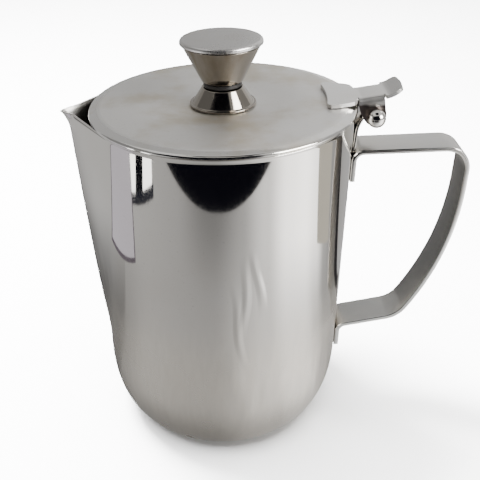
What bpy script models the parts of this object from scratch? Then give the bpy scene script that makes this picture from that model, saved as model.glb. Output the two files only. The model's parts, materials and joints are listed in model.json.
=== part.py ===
"""Candle melting pot: a one-litre steel jug with a pouring spout, a strip handle and a hinged lid.

Frame: metres, +Z up, origin at the centre of the flat base. The handle points to +X and the spout
to -X. The rim falls slightly towards the spout, and the lid with its knob, lever and pin is drawn
as if the rim were level and then tipped with it. The lid swings about the hinge pin, which lies
along Y above the root of the handle.
"""

import math

import bmesh
import bpy
from mathutils import Matrix, Vector

MM = 0.001

# Gap left between two faces that touch or run in each other.
FACE_GAP = 0.3 * MM

# Pot body
BODY_RADIUS = 50.2 * MM
BODY_HEIGHT = 139.2 * MM
RIM_TILT_DEG = 1.6
BODY_WALL = 0.8 * MM
BASE_CORNER_WIDTH = 18.8 * MM
BASE_CORNER_HEIGHT = 34.0 * MM
BASE_CORNER_POWER = 2.4
BODY_STEP_DEG = 6.0

# Spout pressed out of the wall
SPOUT_REACH = 9.5 * MM
SPOUT_DEPTH = 105.0 * MM
SPOUT_FADE = 0.7
SPOUT_NOSE_TOP = 3.4 * MM
SPOUT_NOSE_BOTTOM = 7.0 * MM
LIP_REACH = 2.6 * MM
LIP_DEPTH = 8.0 * MM
LIP_HALF_WIDTH = 6.5 * MM
LIP_DROP = 0.4 * MM
LIP_SHARES = (0.0, 0.14, 0.3, 0.5, 0.75, 1.0)
SPOUT_SHARES = (0.18, 0.29, 0.4, 0.52, 0.64, 0.75, 0.84, 0.91, 0.96, 0.99, 1.0)

# Handle strip
HANDLE_WIDTH = 15.5 * MM
HANDLE_SHEET = 2.0 * MM
HANDLE_OVERHANG = 46.7 * MM
HANDLE_BELOW_RIM = 15.0 * MM
HANDLE_TOP_RISE_DEG = 2.8
HANDLE_CORNER_RADIUS = 9.0 * MM
HANDLE_UPRIGHT = 7.0 * MM
HANDLE_SWEEP_RADIUS = 115.0 * MM
HANDLE_SWEEP_DEG = 31.0
HANDLE_LOWER_RADIUS = 12.0 * MM
HANDLE_LOWER_FALL_DEG = 12.5
HANDLE_ROOT_RADIUS = 4.0 * MM
HANDLE_UPPER_TAB = 8.5 * MM
HANDLE_LOWER_TAB = 7.2 * MM

# Hinge: pin, ball ends and the strip bracket that carries the pin
PIN_STANDOFF = 6.9 * MM
PIN_BELOW_RIM = 2.5 * MM
PIN_RADIUS = 1.4 * MM
BALL_RADIUS = 3.5 * MM
BALL_FLAT = 2.6 * MM
BALL_SOCKET_DEPTH = 3.4 * MM
BRACKET_SHEET = 1.2 * MM
BRACKET_BEND_RADIUS = 12.0 * MM
BRACKET_RISE_DEG = 55.0
BRACKET_WRAP_DEG = 262.0

# Lid, pressed from sheet, that sits on the rim and sinks a little towards the knob
LID_OVERHANG = 0.8 * MM
LID_SHEET = 1.0 * MM
LID_DEPTH = 2.1 * MM
LID_FLANGE_WIDTH = 4.2 * MM
LID_FLANGE_DROP = 0.9 * MM
LID_EDGE_RADIUS = 0.7 * MM
LID_DISH = 1.5 * MM
LID_DISH_RADIUS = 36.0 * MM

# Thumb lever, folded from one sheet
LEVER_SHEET = 1.4 * MM
LEVER_WIDTH = 15.0 * MM
LEVER_FAN_WIDTH = 26.0 * MM
LEVER_FAN_LENGTH = 11.4 * MM
FAN_HOLLOW = 0.9 * MM
FAN_TIP_SHARE = 0.83
FAN_ROOT_SHARE = 0.72
LEVER_RELIEF = 0.5 * MM
LEVER_FRONT_SETBACK = 18.7 * MM
LEVER_FLAT = 13.0 * MM
LEVER_SLOPE_DEG = 8.3
LEVER_BEND_RADIUS = 8.0 * MM
LEVER_TAIL = 11.8 * MM
LEVER_CURL_DEG = 23.0
LEVER_CURL_RADIUS = 9.0 * MM
LEVER_CORNER_RADIUS = 2.6 * MM
LEVER_END_BOW = 0.5 * MM
CHEEK_RADIUS = 4.1 * MM
CHEEK_LEAD = 5.5 * MM
CHEEK_FRONT_DROP = 1.0 * MM
CURL_CLEAR = 0.6 * MM
CHEEK_FOLD_RADIUS = 0.5 * MM

# Knob: collar, black washer, cone and cap, held from below by one screw
KNOB_SHEET = 0.8 * MM
COLLAR_RADIUS = 12.7 * MM
COLLAR_FLANGE = 1.2 * MM
COLLAR_HEIGHT = 6.8 * MM
NECK_RADIUS = 8.0 * MM
NECK_WASHER_SHRINK = 0.7 * MM
NECK_WASHER_THICKNESS = 1.6 * MM
CONE_HEIGHT = 13.8 * MM
CONE_TOP_RADIUS = 14.7 * MM
CAP_RADIUS = 15.5 * MM
CAP_SKIRT = 0.6 * MM
CAP_EDGE_RADIUS = 1.1 * MM
CAP_CROWN = 0.2 * MM
SCREW_RADIUS = 1.9 * MM
SCREW_HEAD_RADIUS = 3.8 * MM
SCREW_HEAD_HEIGHT = 2.4 * MM
SCREW_HEAD_RIM = 1.0 * MM
SCREW_END = 1.5 * MM
UNDER_WASHER_RADIUS = 5.0 * MM
UNDER_WASHER_THICKNESS = 0.8 * MM
NUT_ACROSS_FLATS = 7.0 * MM
NUT_HEIGHT = 3.2 * MM

# Places worked out from the sizes above
LID_Z = BODY_HEIGHT + FACE_GAP
LID_TOP = LID_Z + LID_DEPTH
KNOB_SEAT = LID_TOP - LID_DISH
LID_RADIUS = BODY_RADIUS + LID_OVERHANG
PIN_X = BODY_RADIUS + PIN_STANDOFF
PIN_Z = BODY_HEIGHT - PIN_BELOW_RIM
SCREW_BORE = SCREW_RADIUS + FACE_GAP
CHEEK_INNER_Y = LEVER_WIDTH / 2 - LEVER_SHEET
FOLD_LINE = CHEEK_INNER_Y - CHEEK_FOLD_RADIUS
COLLAR_Z = KNOB_SEAT + FACE_GAP
NECK_Z = COLLAR_Z + COLLAR_HEIGHT + FACE_GAP
CONE_Z = NECK_Z + NECK_WASHER_THICKNESS + FACE_GAP
CAP_Z = CONE_Z + CONE_HEIGHT + FACE_GAP
NUT_Z = CONE_Z + KNOB_SHEET + FACE_GAP
RIM_CENTRE = Vector((0.0, 0.0, BODY_HEIGHT))
RIM_TIP = Matrix.Rotation(-math.radians(RIM_TILT_DEG), 4, "Y")
HINGE = Vector((PIN_X, 0.0, PIN_Z))
TIPPED_HINGE = RIM_CENTRE + RIM_TIP @ (HINGE - RIM_CENTRE)


# ---- Drawing tools ----------------------------------------------------------------------------

class SheetPath:
    """The middle line of a bent sheet, drawn as straights and bends in an upright plane."""

    def __init__(self, across, up, heading_deg):
        self.points = [(across, up)]
        self.heading = math.radians(heading_deg)

    def straight(self, length):
        """Goes on in a straight line."""
        across, up = self.points[-1]
        self.points.append((across + length * math.cos(self.heading), up + length * math.sin(self.heading)))
        return self

    def straight_to_across(self, across):
        """Goes straight on until it reaches the given distance across."""
        return self.straight((across - self.points[-1][0]) / math.cos(self.heading))

    def straight_to_up(self, up):
        """Goes straight on until it reaches the given height."""
        return self.straight((up - self.points[-1][1]) / math.sin(self.heading))

    def bend(self, radius, turn_deg, step_deg=15.0):
        """Turns through an angle, to the left when it is positive."""
        steps = max(2, math.ceil(abs(turn_deg) / step_deg))
        side = math.copysign(1.0, turn_deg)
        across, up = self.points[-1]
        centre_across = across - side * radius * math.sin(self.heading)
        centre_up = up + side * radius * math.cos(self.heading)
        for step in range(1, steps + 1):
            heading = self.heading + math.radians(turn_deg) * step / steps
            self.points.append((centre_across + side * radius * math.sin(heading),
                                centre_up - side * radius * math.cos(heading)))
        self.heading += math.radians(turn_deg)
        return self


def bend_across(radius, heading_deg, turn_deg):
    """Distance across that a bend covers when it starts at the given heading."""
    side = math.copysign(1.0, turn_deg)
    start, end = math.radians(heading_deg), math.radians(heading_deg + turn_deg)
    return side * radius * (math.sin(end) - math.sin(start))


def path_normals(points):
    """The unit normal to the left of a path at each of its points, and how far a mitre stretches it."""
    normals = []
    for index in range(len(points)):
        before = Vector(points[max(index - 1, 0)])
        here = Vector(points[index])
        after = Vector(points[min(index + 1, len(points) - 1)])
        legs = [leg.normalized() for leg in (here - before, after - here) if leg.length > 0]
        along = sum(legs, Vector((0.0, 0.0))).normalized()
        normals.append((Vector((-along.y, along.x)), 1.0 / along.dot(legs[0])))
    return normals


def offset_path(points, distance):
    """The path moved to its left by a distance, with mitred corners."""
    return [tuple(Vector(point) + normal * (distance * mitre))
            for point, (normal, mitre) in zip(points, path_normals(points))]


def sheet_outline(points, thickness):
    """The closed outline of a sheet whose middle line is the path."""
    return offset_path(points, thickness / 2) + offset_path(points, -thickness / 2)[::-1]


def mesh_from_rings(rings, closed):
    """Joins rings of points with quads. A ring of one point is a pole, and ends are capped."""
    bm = bmesh.new()
    loops = [[bm.verts.new(point) for point in ring] for ring in rings]
    pairs = list(zip(loops, loops[1:]))
    if closed:
        pairs.append((loops[-1], loops[0]))
    for one, two in pairs:
        for index in range(max(len(one), len(two))):
            corner = [one[index % len(one)], one[(index + 1) % len(one)],
                      two[(index + 1) % len(two)], two[index % len(two)]]
            bm.faces.new(list(dict.fromkeys(corner)))
    if not closed:
        for loop in (loops[0], loops[-1]):
            if len(loop) > 1:
                bm.faces.new(loop)
    bmesh.ops.recalc_face_normals(bm, faces=bm.faces)
    return bm


def turned(profile, segments, closed):
    """Turns a profile of (radius, height) points about the Z axis."""
    rings = []
    for radius, height in profile:
        count = segments if radius > 1e-7 else 1
        rings.append([(radius * math.cos(2 * math.pi * index / segments),
                       radius * math.sin(2 * math.pi * index / segments), height)
                      for index in range(count)])
    return mesh_from_rings(rings, closed)


def swept_strip(path, width, thickness, rows, wall_fit=None):
    """A strip of sheet, lying across Y, whose middle line is the path. wall_fit(x, y, z) moves x."""
    left = offset_path(path, thickness / 2)
    right = offset_path(path, -thickness / 2)
    across = [width * (row / rows - 0.5) for row in range(rows + 1)]
    rings = []
    for (left_x, left_z), (right_x, right_z) in zip(left, right):
        ring = [(left_x, y, left_z) for y in across] + [(right_x, y, right_z) for y in reversed(across)]
        if wall_fit:
            ring = [(wall_fit(x, y, z), y, z) for x, y, z in ring]
        rings.append(ring)
    return mesh_from_rings(rings, closed=False)


def steel(name, roughness, colour=(0.62, 0.61, 0.59, 1.0), metallic=1.0):
    """A Principled material with one colour, roughness and metallic value."""
    material = bpy.data.materials.new(name)
    material.use_nodes = True
    shader = material.node_tree.nodes["Principled BSDF"]
    shader.inputs["Base Color"].default_value = colour
    shader.inputs["Roughness"].default_value = roughness
    shader.inputs["Metallic"].default_value = metallic
    return material


def add_piece(name, bm, material, joint=None):
    """Makes the named object from a mesh. A piece of the lid hangs on the hinge, and tips with it."""
    if joint:
        bmesh.ops.translate(bm, verts=bm.verts, vec=-HINGE)
    mesh = bpy.data.meshes.new(name)
    bm.to_mesh(mesh)
    bm.free()
    mesh.shade_smooth()
    mesh.set_sharp_from_angle(angle=math.radians(32))
    mesh.materials.append(material)
    piece = bpy.data.objects.new(name, mesh)
    bpy.context.scene.collection.objects.link(piece)
    piece.parent = joint
    return piece


def cylinder_mesh(radius, start, end, segments, turn=None):
    """A closed cylinder between two heights, turned by a matrix where one is given."""
    bm = turned([(0.0, start), (radius, start), (radius, end), (0.0, end)], segments, closed=False)
    if turn:
        bmesh.ops.transform(bm, matrix=turn, verts=bm.verts)
    return bm


def along_y_at(x, z):
    """Lays something drawn along Z on its side, along +Y, and puts it at a place."""
    return Matrix.Translation((x, 0.0, z)) @ Matrix.Rotation(math.radians(-90), 4, "X")


def cut_with(piece, cutter_mesh, name):
    """Cuts a piece with a hidden guide object that has the same parent."""
    cutter = add_piece(name, cutter_mesh, piece.data.materials[0], piece.parent)
    cutter.hide_render = True
    cutter.display_type = "WIRE"
    cut = piece.modifiers.new(name, "BOOLEAN")
    cut.operation = "DIFFERENCE"
    cut.solver = "EXACT"
    cut.object = cutter


# ---- Pot body ---------------------------------------------------------------------------------

def spout_shape(depth, inset):
    """Nose radius and nose centre of the spout at a depth below the rim, or None below its end."""
    fall = depth / SPOUT_DEPTH
    if fall >= 1.0:
        return None
    nose = SPOUT_NOSE_TOP + (SPOUT_NOSE_BOTTOM - SPOUT_NOSE_TOP) * fall
    ridge = BODY_RADIUS + SPOUT_REACH * (1.0 - fall) ** SPOUT_FADE
    return nose - inset, ridge - nose


def wall_radius(depth, off_spout, inset):
    """Distance of the wall from the pot's axis, at an angle off the spout's middle."""
    radius = BODY_RADIUS - inset
    shape = spout_shape(depth, inset)
    if shape is None:
        return radius
    nose, centre = shape
    flank = math.acos((radius - nose) / centre)
    nose_end = math.atan2(nose * math.sin(flank), centre + nose * math.cos(flank))
    if off_spout >= flank:
        return radius
    if off_spout > nose_end:
        return radius / math.cos(flank - off_spout)
    return centre * math.cos(off_spout) + math.sqrt(nose ** 2 - (centre * math.sin(off_spout)) ** 2)


def wall_point(depth, angle, inset):
    """A point on the wall, with the outward lip of the spout added near the rim."""
    off_spout = abs(math.pi - angle % (2 * math.pi))
    radius = wall_radius(depth, off_spout, inset)
    sideways = min(1.0, radius * math.sin(min(off_spout, math.pi / 2)) / LIP_HALF_WIDTH)
    lip = max(0.0, 1.0 - depth / LIP_DEPTH) ** 2 * (0.5 + 0.5 * math.cos(math.pi * sideways))
    radius += LIP_REACH * lip
    x, y = radius * math.cos(angle), radius * math.sin(angle)
    tilt = x * math.tan(math.radians(RIM_TILT_DEG)) * (1.0 - depth / SPOUT_DEPTH)
    return (x, y, BODY_HEIGHT + tilt - depth - LIP_DROP * lip)


def body_angles():
    """Angles round the pot, closer together across the spout."""
    spout_side = [0.0, 0.7, 1.4, 2.3, 4.0, 7.0, 11.0, 16.0, 21.0, 26.0, 31.0, 36.0]
    steps = round((180.0 - spout_side[-1]) / BODY_STEP_DEG)
    rest = [spout_side[-1] + (180.0 - spout_side[-1]) * step / steps for step in range(1, steps + 1)]
    half = spout_side + rest
    whole = half + [360.0 - angle for angle in reversed(half[1:-1])]
    return [math.radians(180.0 + angle) for angle in whole]


def make_pot_body(material):
    """The drawn steel body: one sheet, open at the top, with the spout pressed out of its wall."""
    angles = body_angles()
    depths = [LIP_DEPTH * share for share in LIP_SHARES] + [SPOUT_DEPTH * share for share in SPOUT_SHARES]
    corner_steps = 9

    def side(inset):
        rings = [[wall_point(depth, angle, inset) for angle in angles] for depth in depths]
        for step in range(corner_steps + 1):
            turn = 0.5 * math.pi * step / corner_steps
            reach = max(0.0, math.cos(turn)) ** (2 / BASE_CORNER_POWER)
            drop = math.sin(turn) ** (2 / BASE_CORNER_POWER)
            radius = BODY_RADIUS - BASE_CORNER_WIDTH + (BASE_CORNER_WIDTH - inset) * reach
            height = BASE_CORNER_HEIGHT - (BASE_CORNER_HEIGHT - inset) * drop
            rings.append([(radius * math.cos(angle), radius * math.sin(angle), height) for angle in angles])
        return rings

    add_piece("pot_body", mesh_from_rings(side(0.0)[::-1] + side(BODY_WALL), closed=False), material)


# ---- Handle and hinge bracket -----------------------------------------------------------------

def fitted_to_wall(x, y, z):
    """Curves a strip round the pot where it lies against the wall, and leaves the rest flat."""
    reach = (x - BODY_RADIUS) / (2.2 * HANDLE_SHEET)
    share = min(1.0, max(0.0, 2.0 - reach))
    return x - share * (BODY_RADIUS - math.sqrt(BODY_RADIUS ** 2 - y ** 2))


def make_handle(material):
    """One strip, bent out and round and back to the wall, with a welded tab at each end."""
    tab_x = BODY_RADIUS + FACE_GAP + HANDLE_SHEET / 2
    top_z = BODY_HEIGHT - HANDLE_BELOW_RIM - HANDLE_SHEET / 2
    outer_x = BODY_RADIUS + HANDLE_OVERHANG - HANDLE_SHEET / 2
    root_turn = 90.0 - HANDLE_TOP_RISE_DEG
    corner_turn = 90.0 + HANDLE_TOP_RISE_DEG
    path = SheetPath(tab_x, top_z - HANDLE_ROOT_RADIUS - HANDLE_UPPER_TAB, 90.0)
    path.straight(HANDLE_UPPER_TAB).bend(HANDLE_ROOT_RADIUS, -root_turn)
    path.straight_to_across(outer_x - bend_across(HANDLE_CORNER_RADIUS, HANDLE_TOP_RISE_DEG, -corner_turn))
    path.bend(HANDLE_CORNER_RADIUS, -corner_turn, 12.0).straight(HANDLE_UPRIGHT)
    path.bend(HANDLE_SWEEP_RADIUS, -HANDLE_SWEEP_DEG, 3.1)
    lower_turn = 90.0 - HANDLE_SWEEP_DEG - HANDLE_LOWER_FALL_DEG
    path.bend(HANDLE_LOWER_RADIUS, -lower_turn, 8.0)
    foot_turn = 90.0 - HANDLE_LOWER_FALL_DEG
    foot_heading = HANDLE_LOWER_FALL_DEG - 180.0
    path.straight_to_across(tab_x - bend_across(HANDLE_ROOT_RADIUS, foot_heading, foot_turn))
    path.bend(HANDLE_ROOT_RADIUS, foot_turn).straight(HANDLE_LOWER_TAB)
    bm = swept_strip(path.points, HANDLE_WIDTH, HANDLE_SHEET, 4, fitted_to_wall)
    add_piece("handle", bm, material)


def make_hinge_bracket(material):
    """A strip welded to the wall above the handle, rolled at the top into the pin's knuckle."""
    foot_x = BODY_RADIUS + FACE_GAP + BRACKET_SHEET / 2
    roll_radius = PIN_RADIUS + FACE_GAP + BRACKET_SHEET / 2
    rise = math.radians(BRACKET_RISE_DEG)
    roll_x = TIPPED_HINGE.x - roll_radius * math.sin(rise)
    roll_z = TIPPED_HINGE.z + roll_radius * math.cos(rise)
    lean = 90.0 - BRACKET_RISE_DEG
    straight_across = roll_x - foot_x - bend_across(BRACKET_BEND_RADIUS, 90.0, -lean)
    bend_z = roll_z - straight_across * math.tan(rise) - BRACKET_BEND_RADIUS * math.sin(math.radians(lean))
    path = SheetPath(foot_x, BODY_HEIGHT - HANDLE_BELOW_RIM - HANDLE_SHEET + FACE_GAP, 90.0)
    path.straight_to_up(bend_z).bend(BRACKET_BEND_RADIUS, -lean, 7.0).straight_to_across(roll_x)
    path.bend(roll_radius, -BRACKET_WRAP_DEG, 18.0)
    width = 2 * (CHEEK_INNER_Y - FACE_GAP)

    def fit(x, y, z):
        share = min(1.0, max(0.0, (bend_z - z) / BRACKET_SHEET))
        return x - share * (BODY_RADIUS - math.sqrt(BODY_RADIUS ** 2 - y ** 2))

    add_piece("hinge_bracket", swept_strip(path.points, width, BRACKET_SHEET, 4, fit), material)


# ---- Lid --------------------------------------------------------------------------------------

def make_lid_shell(material, joint):
    """The pressed lid, with a hole for the knob's screw at its middle."""
    slope = math.degrees(math.atan2(LID_FLANGE_DROP, LID_FLANGE_WIDTH))
    edge = LID_RADIUS - LID_SHEET / 2
    path = SheetPath(SCREW_BORE, KNOB_SEAT - LID_SHEET / 2, 0.0)
    path.straight_to_across(COLLAR_RADIUS + FACE_GAP)
    dish_start, dish_base = path.points[-1]
    for share in (0.15, 0.3, 0.45, 0.6, 0.75, 0.9, 1.0):
        path.points.append((dish_start + (LID_DISH_RADIUS - dish_start) * share,
                            dish_base + LID_DISH * (0.5 - 0.5 * math.cos(math.pi * share))))
    path.straight_to_across(LID_RADIUS - LID_FLANGE_WIDTH).bend(LID_EDGE_RADIUS, -slope)
    path.straight_to_across(edge - bend_across(LID_EDGE_RADIUS, -slope, slope - 90.0))
    path.bend(LID_EDGE_RADIUS, slope - 90.0, 20.0).straight_to_up(LID_Z)
    add_piece("lid_shell", turned(sheet_outline(path.points, LID_SHEET), 72, closed=True), material,
              joint)


def lever_outline(pin_along, pin_below):
    """Half of the lever's flat pattern, as (along, across) points from front to tail."""
    half_fan = LEVER_FAN_WIDTH / 2
    half = LEVER_WIDTH / 2
    root = FAN_ROOT_SHARE * half_fan
    points = [(FAN_HOLLOW * (1.0 - (step / 6) ** 2), FAN_TIP_SHARE * half_fan * step / 6) for step in range(7)]
    points += [(0.3 * FAN_HOLLOW, 0.93 * half_fan), (1.4 * FAN_HOLLOW, half_fan),
               (2.9 * FAN_HOLLOW, 0.98 * half_fan)]
    points += [(LEVER_FAN_LENGTH * share, half_fan + (root - half_fan) * share ** 2)
               for share in (0.45, 0.7, 0.9)]
    # The cheek runs out past the fold line and ends in a round boss about the pin.
    folded_edge = FOLD_LINE + fold_length()
    pin_across = folded_edge + pin_below - CHEEK_FOLD_RADIUS
    lead = pin_along - CHEEK_LEAD
    points += [(LEVER_FAN_LENGTH, root - LEVER_RELIEF), (lead - 2 * LEVER_RELIEF, half),
               (lead - LEVER_RELIEF, half - LEVER_RELIEF), (lead - LEVER_RELIEF, FOLD_LINE),
               (lead, FOLD_LINE), (lead, folded_edge + CHEEK_FRONT_DROP)]
    to_boss = Vector(points[-1]) - Vector((pin_along, pin_across))
    touch = math.atan2(to_boss.y, to_boss.x) - math.acos(CHEEK_RADIUS / to_boss.length)
    touch %= 2 * math.pi
    for step in range(13):
        turn = touch * (1.0 - step / 12)
        points.append((pin_along + CHEEK_RADIUS * math.cos(turn), pin_across + CHEEK_RADIUS * math.sin(turn)))
    trail = pin_along + CHEEK_RADIUS
    points += [(trail, FOLD_LINE), (trail + LEVER_RELIEF, FOLD_LINE), (trail + LEVER_RELIEF, half)]
    end = pin_along + LEVER_TAIL
    for step in range(5):
        turn = 0.5 * math.pi * (1.0 - step / 4)
        points.append((end - LEVER_CORNER_RADIUS * (1.0 - math.cos(turn)),
                       half - LEVER_CORNER_RADIUS * (1.0 - math.sin(turn))))
    points.append((end + LEVER_END_BOW, 0.0))
    return points


def fold_length():
    """Length of sheet that the quarter-turn fold of a cheek takes up, at mid thickness."""
    return 0.5 * math.pi * (CHEEK_FOLD_RADIUS + LEVER_SHEET / 2)


def folded(across, height):
    """Where a point of the flat pattern goes when the cheeks are folded down."""
    past = abs(across) - FOLD_LINE
    side = math.copysign(1.0, across)
    if past <= 0:
        return across, height
    radius = CHEEK_FOLD_RADIUS + height
    if past < fold_length():
        turn = 0.5 * math.pi * past / fold_length()
        return side * (FOLD_LINE + radius * math.sin(turn)), radius * math.cos(turn) - CHEEK_FOLD_RADIUS
    return side * (FOLD_LINE + radius), fold_length() - past - CHEEK_FOLD_RADIUS


def make_thumb_lever(material, joint):
    """One folded sheet: a fan welded to the lid, two cheeks about the pin, and a curled thumb tail."""
    start_x = PIN_X - LEVER_FRONT_SETBACK
    bottom = LID_TOP + FACE_GAP
    path = SheetPath(start_x, bottom, 0.0)
    path.straight(LEVER_FLAT).bend(LEVER_BEND_RADIUS, LEVER_SLOPE_DEG, 3.0)
    slope_start = Vector(path.points[-1])
    slope = path.heading
    along_slope = Vector((math.cos(slope), math.sin(slope)))
    to_pin = Vector((PIN_X, PIN_Z)) - slope_start
    bent_length = LEVER_FLAT + LEVER_BEND_RADIUS * slope
    pin_along = bent_length + to_pin.dot(along_slope)
    pin_below = -to_pin.dot(Vector((-along_slope.y, along_slope.x)))
    path.straight(to_pin.dot(along_slope) + CHEEK_RADIUS + CURL_CLEAR)
    path.bend(LEVER_CURL_RADIUS, LEVER_CURL_DEG, 7.0).straight(2 * LEVER_TAIL)

    lengths = [0.0]
    for one, two in zip(path.points, path.points[1:]):
        lengths.append(lengths[-1] + math.dist(one, two))

    cheek_start = pin_along - CHEEK_LEAD - LEVER_RELIEF / 2
    cheek_end = pin_along + CHEEK_RADIUS + LEVER_RELIEF / 2
    normals = path_normals(path.points)

    def place(along, across, height):
        is_cheek = cheek_start < along < cheek_end
        y, lift = folded(across, height) if is_cheek else (across, height)
        span = max(index for index in range(len(lengths) - 1) if index == 0 or lengths[index] <= along)
        one, two = Vector(path.points[span]), Vector(path.points[span + 1])
        share = (along - lengths[span]) / (lengths[span + 1] - lengths[span])
        normal = normals[span][0].lerp(normals[span + 1][0], min(1.0, max(0.0, share))).normalized()
        spot = one.lerp(two, share) + normal * lift
        return Vector((spot.x, y, spot.y))

    half = lever_outline(pin_along, pin_below)
    outline = half + [(along, -across) for along, across in reversed(half[1:-1])]
    bm = bmesh.new()
    plate = bm.faces.new([bm.verts.new((along, across, 0.0)) for along, across in outline])
    if plate.normal.z < 0:
        plate.normal_flip()
    grown = bmesh.ops.extrude_face_region(bm, geom=[plate])["geom"]
    bmesh.ops.translate(bm, vec=(0.0, 0.0, LEVER_SHEET),
                        verts=[item for item in grown if isinstance(item, bmesh.types.BMVert)])
    fold_cuts = [FOLD_LINE + fold_length() * share for share in (0.0, 0.25, 0.5, 0.75, 1.0)]
    cuts = [((length, 0.0, 0.0), (1.0, 0.0, 0.0)) for length in lengths[1:-1]]
    cuts += [((0.0, side * across, 0.0), (0.0, 1.0, 0.0)) for across in fold_cuts for side in (-1, 1)]
    for point, normal in cuts:
        bmesh.ops.bisect_plane(bm, geom=bm.verts[:] + bm.edges[:] + bm.faces[:], dist=1e-7,
                               plane_co=point, plane_no=normal)
    bmesh.ops.triangulate(bm, faces=bm.faces)
    for vert in bm.verts:
        vert.co = place(*vert.co)
    bmesh.ops.recalc_face_normals(bm, faces=bm.faces)
    lever = add_piece("thumb_lever", bm, material, joint)
    bore = cylinder_mesh(PIN_RADIUS + FACE_GAP, -LEVER_WIDTH, LEVER_WIDTH, 20, along_y_at(PIN_X, PIN_Z))
    cut_with(lever, bore, "pin_bore_guide")


# ---- Hinge pin --------------------------------------------------------------------------------

def ball_centre_y():
    """Distance of each ball's centre from the middle of the hinge."""
    return LEVER_WIDTH / 2 + FACE_GAP + BALL_FLAT


def ball_arc(centre, flat_first, steps):
    """Profile of a ball with one flat, as (radius, height) points from the flat to the far pole."""
    start = math.acos(-BALL_FLAT / BALL_RADIUS)
    points = []
    for step in range(steps + 1):
        turn = start * (1.0 - step / steps)
        points.append((BALL_RADIUS * math.sin(turn), centre + flat_first * BALL_RADIUS * math.cos(turn)))
    return points[:-1] + [(0.0, centre + flat_first * BALL_RADIUS)]


def make_hinge_pin(material, joint):
    """A round pin with one ball formed on its end, on the -Y side."""
    centre = ball_centre_y()
    end = centre - BALL_FLAT + BALL_SOCKET_DEPTH
    profile = [(0.0, end), (PIN_RADIUS, end), (PIN_RADIUS, BALL_FLAT - centre)]
    profile += ball_arc(-centre, -1.0, 8)
    bm = turned(profile, 24, closed=False)
    bmesh.ops.transform(bm, matrix=along_y_at(PIN_X, PIN_Z), verts=bm.verts)
    add_piece("hinge_pin", bm, material, joint)


def make_pin_ball_cap(material, joint):
    """The second ball, pressed on the plain end of the pin."""
    centre = ball_centre_y()
    face = centre - BALL_FLAT
    bore = PIN_RADIUS + FACE_GAP
    floor = face + BALL_SOCKET_DEPTH + FACE_GAP
    profile = [(0.0, floor), (bore, floor), (bore, face)] + ball_arc(centre, 1.0, 8)
    bm = turned(profile, 24, closed=False)
    bmesh.ops.transform(bm, matrix=along_y_at(PIN_X, PIN_Z), verts=bm.verts)
    add_piece("pin_ball_cap", bm, material, joint)


# ---- Knob -------------------------------------------------------------------------------------

def make_knob_collar(material, joint):
    """The lower cone: a narrow flange on the lid, a sloping side and a bored flat top."""
    half = KNOB_SHEET / 2
    side_base = COLLAR_RADIUS - COLLAR_FLANGE
    top = COLLAR_Z + COLLAR_HEIGHT - half
    path = [(COLLAR_RADIUS, COLLAR_Z + half), (side_base, COLLAR_Z + half),
            (NECK_RADIUS - half, top), (SCREW_BORE, top)]
    add_piece("knob_collar", turned(sheet_outline(path, KNOB_SHEET), 40, closed=True), material, joint)


def make_knob_cone(material, joint):
    """The upper cone: a bored flat floor and a side that opens out to the cap."""
    half = KNOB_SHEET / 2
    path = [(SCREW_BORE, CONE_Z + half), (NECK_RADIUS - half, CONE_Z + half),
            (CONE_TOP_RADIUS - half, CONE_Z + CONE_HEIGHT)]
    outline = sheet_outline(path, KNOB_SHEET)
    outline = [(radius, min(height, CONE_Z + CONE_HEIGHT)) for radius, height in outline]
    add_piece("knob_cone", turned(outline, 40, closed=True), material, joint)


def make_knob_cap(material, joint):
    """The cap: a low dome with a rounded edge and a short skirt that meets the cone."""
    half = KNOB_SHEET / 2
    edge = CAP_RADIUS - half
    bend = CAP_EDGE_RADIUS - half
    shoulder = CAP_Z + CAP_SKIRT + bend
    crown_radius = (edge - bend) / math.sin(2 * math.atan2(CAP_CROWN, edge - bend))
    crown_half = math.asin((edge - bend) / crown_radius)
    crown = [(crown_radius * math.sin(crown_half * step / 5),
              shoulder + CAP_CROWN - crown_radius * (1.0 - math.cos(crown_half * step / 5)))
             for step in range(6)]
    turn_in = [(edge - bend + bend * math.sin(turn), shoulder - bend + bend * math.cos(turn))
               for turn in (math.radians(angle) for angle in (30, 60, 90))]
    path = crown + turn_in + [(edge, CAP_Z)]
    outer = offset_path(path, half)
    inner = offset_path(path, -half)
    outer[0] = (0.0, outer[0][1])
    inner[0] = (0.0, inner[0][1])
    add_piece("knob_cap", turned(outer + inner[::-1], 40, closed=False), material, joint)


def make_ring(name, outer, inner, low, high, material, joint, segments=40):
    """A flat ring round the pot's axis."""
    profile = [(inner, low), (outer, low), (outer, high), (inner, high)]
    add_piece(name, turned(profile, segments, closed=True), material, joint)


def make_knob_nut(material, joint):
    """The hexagon nut inside the cone, whose bore clears the screw."""
    segments = 24
    top = NUT_Z + NUT_HEIGHT
    rings = []
    for bored, height in ((True, NUT_Z), (False, NUT_Z), (False, top), (True, top)):
        ring = []
        for index in range(segments):
            angle = 2 * math.pi * index / segments
            off_flat = (angle + math.pi / 6) % (math.pi / 3) - math.pi / 6
            radius = SCREW_BORE if bored else NUT_ACROSS_FLATS / 2 / math.cos(off_flat)
            ring.append((radius * math.cos(angle), radius * math.sin(angle), height))
        rings.append(ring)
    add_piece("knob_nut", mesh_from_rings(rings, closed=True), material, joint)


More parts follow.
